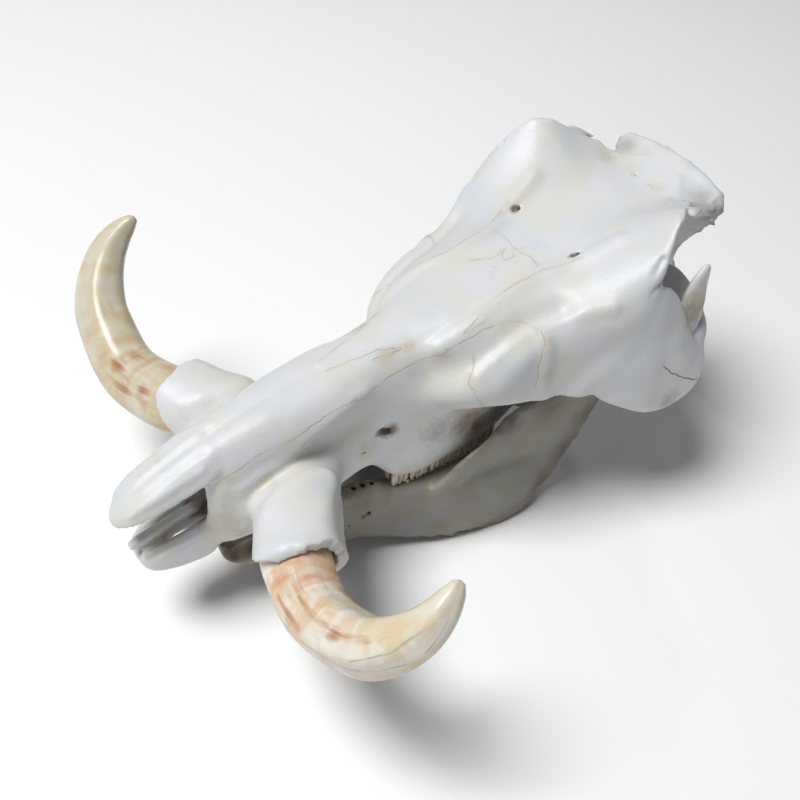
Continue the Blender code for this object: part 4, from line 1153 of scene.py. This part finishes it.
# The row's distance from the midline, the height at which the teeth meet, and the gap left there; how far
# the cement stays inside a tooth's ends and sides, and its levels from the bite; and how thick a column may
# be, as a share of the spacing and of the tooth's half width.
TOOTH_ROW_Y = 27.0
BITE_Z = -4.0
HALF_GAP = 0.15
CEMENT_END, CEMENT_SIDE = 0.6, 1.6
CEMENT_LEVELS = (1.0, 6.0)
THICK_BY_SPACING, THICK_BY_WIDTH = 0.56, 0.46
RIB_INSET = 0.2
CROWN = 7.0
ROOT = 15.0
# Jaw, kind, x where it ends and begins, half its width, and the columns on each side.
TEETH = (
    ("upper", "premolar", 217, 229, 5.5, 3),
    ("upper", "second_molar", 202.5, 216, 6.6, 4),
    ("upper", "third_molar", 150, 201.5, 7.2, 12),
    ("lower", "second_molar", 204, 219, 6.0, 4),
    ("lower", "third_molar", 150, 203, 6.6, 12),
)


def column_tree():
    """A tree that sets two rows of rounded enamel columns along the cement they are given."""
    inputs = [("Cement", "Geometry", None)]
    for kind, names in (("Float", ("First", "Spacing", "Low", "High", "Row", "Middle", "Girth")),
                        ("Int", ("Count", "Seed")), ("Material", ("Enamel", "Filling"))):
        inputs += [(name, kind, None) for name in names]
    tree, given = new_tree("enamel columns", "Tooth", inputs)
    ends = [add(tree, "ShaderNodeCombineXYZ", {2: given[end]}) for end in ("Low", "High")]
    stem = add(tree, "GeometryNodeCurvePrimitiveLine", {"Start": ends[0], "End": ends[1]})
    stem = add(tree, "GeometryNodeResampleCurve", {"Curve": stem, "Count": 14}, mode="COUNT")
    full = add(tree, "GeometryNodeSplineParameter", out="Factor")
    for operation, other in (("MULTIPLY", 2.0), ("SUBTRACT", 1.0), ("ABSOLUTE", 0.0), ("POWER", 7.0),
                             ("MULTIPLY", -1.0), ("ADD", 1.0), ("MAXIMUM", 0.25), ("POWER", 0.5),
                             ("MULTIPLY", given["Girth"])):
        full = add(tree, "ShaderNodeMath", {0: full, 1: other}, operation=operation)
    ring = add(tree, "GeometryNodeCurvePrimitiveCircle", {"Resolution": 14, "Radius": 1.0})
    column = add(tree, "GeometryNodeCurveToMesh", {"Curve": stem, "Profile Curve": ring, "Scale": full,
                                                   "Fill Caps": True})
    step = add(tree, "ShaderNodeCombineXYZ", {0: given["Spacing"]})
    joined = add(tree, "GeometryNodeJoinGeometry", out=None)
    for row in (-1.0, 1.0):
        y = add(tree, "ShaderNodeMath", {0: given["Row"], 1: row, 2: given["Middle"]},
                operation="MULTIPLY_ADD")
        start = add(tree, "ShaderNodeCombineXYZ", {0: given["First"], 1: y})
        points = add(tree, "GeometryNodeMeshLine", {"Count": given["Count"], "Start Location": start,
                                                    "Offset": step}, mode="OFFSET")
        size = add(tree, "FunctionNodeRandomValue", {0: (0.88, 0.88, 0.97), 1: (1.1, 1.05, 1.0),
                                                     "Seed": given["Seed"]}, data_type="FLOAT_VECTOR")
        placed = add(tree, "GeometryNodeInstanceOnPoints", {"Points": points, "Instance": column,
                                                            "Scale": size})
        tree.links.new(placed, joined.inputs[0])
    whole = add(tree, "GeometryNodeJoinGeometry", out=None)
    for part, kind in ((joined.outputs[0], "Enamel"), (given["Cement"], "Filling")):
        part = add(tree, "GeometryNodeSetMaterial", {"Geometry": part, "Material": given[kind]})
        tree.links.new(part, whole.inputs[0])
    return hand_out(tree, whole.outputs[0])


def enamel_finish():
    """Tooth enamel: hard and satin, ivory in colour, tea brown in upright streaks 1 mm wide, 8 mm long."""
    finish, tree = new_finish("tooth enamel, stained")
    place = add(tree, "ShaderNodeTexCoord", out="Object")
    upright = add(tree, "ShaderNodeMapping", {"Vector": place, "Scale": (900, 900, 120)})
    lines = add(tree, "ShaderNodeTexNoise", {"Vector": upright, "Scale": 1.0, "Detail": 4})
    colour = lay(tree, linear("#DDD3BF"), ((lines, 0.42, 0.68, 1.0, "#A88F6C"),))
    dress(tree, colour, lines, gloss=0.32, ior=1.62, strength=0.6, distance=0.2 * MM)
    return finish


def cement_finish():
    """Tooth cement between the ribs: dull, dark brown and porous, with a grain of 1.4 mm."""
    finish, tree = new_finish("tooth cement, brown")
    place = add(tree, "ShaderNodeTexCoord", out="Object")
    grit = add(tree, "ShaderNodeTexNoise", {"Vector": place, "Scale": 700.0, "Detail": 4})
    colour = lay(tree, linear("#4A3422"), ((grit, 0.0, 1.0, 1.0, "#8A6A45"),))
    dress(tree, colour, grit, gloss=0.75, ior=1.5, strength=0.8, distance=0.4 * MM)
    return finish


columns = column_tree()
enamel = enamel_finish()
filling = cement_finish()
for word, side in (("left", 1), ("right", -1)):
    for jaw_name, kind, first, last, half_wide, count in TEETH:
        up = 1 if jaw_name == "upper" else -1
        bite = BITE_Z + up * HALF_GAP
        deep = bite + up * (CROWN + ROOT)
        spacing = (last - first) / count
        middle = (first + last) / 2
        block = []
        for z in (*(bite + up * level for level in CEMENT_LEVELS), deep):
            block.append(oval((middle, side * TOOTH_ROW_Y, z), FORE, SIDE, (last - first) / 2 - CEMENT_END,
                              half_wide - CEMENT_SIDE, points=32, square=0.5))
        corners, faces = skin_over(block, rounds=1)
        cement = bpy.data.meshes.new("cement")
        cement.from_pydata([at(p) for p in corners.tolist()], [], faces.tolist())
        start = at((first + spacing / 2, side * TOOTH_ROW_Y, 0))
        girth = min(spacing * THICK_BY_SPACING, half_wide * THICK_BY_WIDTH) * MM
        tooth = grown("_".join(("ribbed", jaw_name, kind, word)), cement, columns, {
            "First": start.x, "Spacing": spacing * MM, "Low": at((0, 0, min(bite, deep))).z,
            "High": at((0, 0, max(bite, deep))).z, "Row": (half_wide - RIB_INSET) * MM - girth,
            "Middle": start.y, "Girth": girth, "Count": count, "Seed": count + up, "Enamel": enamel,
            "Filling": filling})
        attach(tooth, "root")
        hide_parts("_".join((jaw_name, kind, word)))

# Studio: a plain white floor, a large soft light above and in front, a small lamp behind for the glints, a
# pale wall that only the camera sees, and the camera at the photograph's angle, looking down on the left
# side of the snout.

FLOOR_HALF = 6
CORNERS = [(x * FLOOR_HALF, y * FLOOR_HALF, 0) for x, y in ((-1, -1), (1, -1), (1, 1), (-1, 1))]
floor_mesh = bpy.data.meshes.new("pale_floor")
floor_mesh.from_pydata(CORNERS, [], [(0, 1, 2, 3)])
floor = put("pale_floor", floor_mesh)
paper, tree = new_finish("white paper, matt")
plug(tree, tree.nodes["Principled BSDF"], {"Base Color": linear("#FBFBFB"), "Roughness": 0.95})
floor_mesh.materials.append(paper)

world = bpy.data.worlds.new("studio")
bpy.context.scene.world = world
world.use_nodes = True
tree = world.node_tree
air = tree.nodes["Background"]
plug(tree, air, {"Color": linear("#F4F7FF"), "Strength": 0.13})
wall = add(tree, "ShaderNodeBackground", {"Color": linear("#EDEEF0"), "Strength": 1.0})
seen = add(tree, "ShaderNodeLightPath", out="Is Camera Ray")
both = add(tree, "ShaderNodeMixShader", {0: seen, 1: air.outputs[0], 2: wall})
plug(tree, tree.nodes["World Output"], {"Surface": both})


def softbox(name, place, aim, size, power):
    """A round soft light that faces a point."""
    lamp = bpy.data.lights.new(name, "AREA")
    lamp.shape = "DISK"
    lamp.size = size
    lamp.energy = power
    holder = put(name, lamp)
    holder.location = place
    holder.rotation_euler = (Vector(aim) - Vector(place)).to_track_quat("-Z", "Y").to_euler()


softbox("key", (1.3, -0.2, 2.7), aim=(0, 0, 0.05), size=1.3, power=86)
softbox("glint", (-0.9, -0.9, 1.3), aim=(-0.1, 0, 0.2), size=0.15, power=1.5)
bpy.context.scene.view_settings.view_transform = "Standard"

# The camera's place, and the directions that are right and down in its picture.
EYE = at((530.62, 367.95, 497.13))
RIGHT = Vector((-0.80272, 0.58839, 0.09712))
DOWN = Vector((0.35127, 0.59812, -0.72032))
AHEAD = RIGHT.cross(DOWN)
lens = bpy.data.cameras.new("camera")
lens.lens = 48.75
lens.sensor_width = 36.0
lens.clip_start = 0.01
camera = put("camera", lens)
camera.matrix_world = Matrix((
    (RIGHT.x, -DOWN.x, -AHEAD.x, EYE.x),
    (RIGHT.y, -DOWN.y, -AHEAD.y, EYE.y),
    (RIGHT.z, -DOWN.z, -AHEAD.z, EYE.z),
    (0, 0, 0, 1),
))
bpy.context.scene.camera = camera
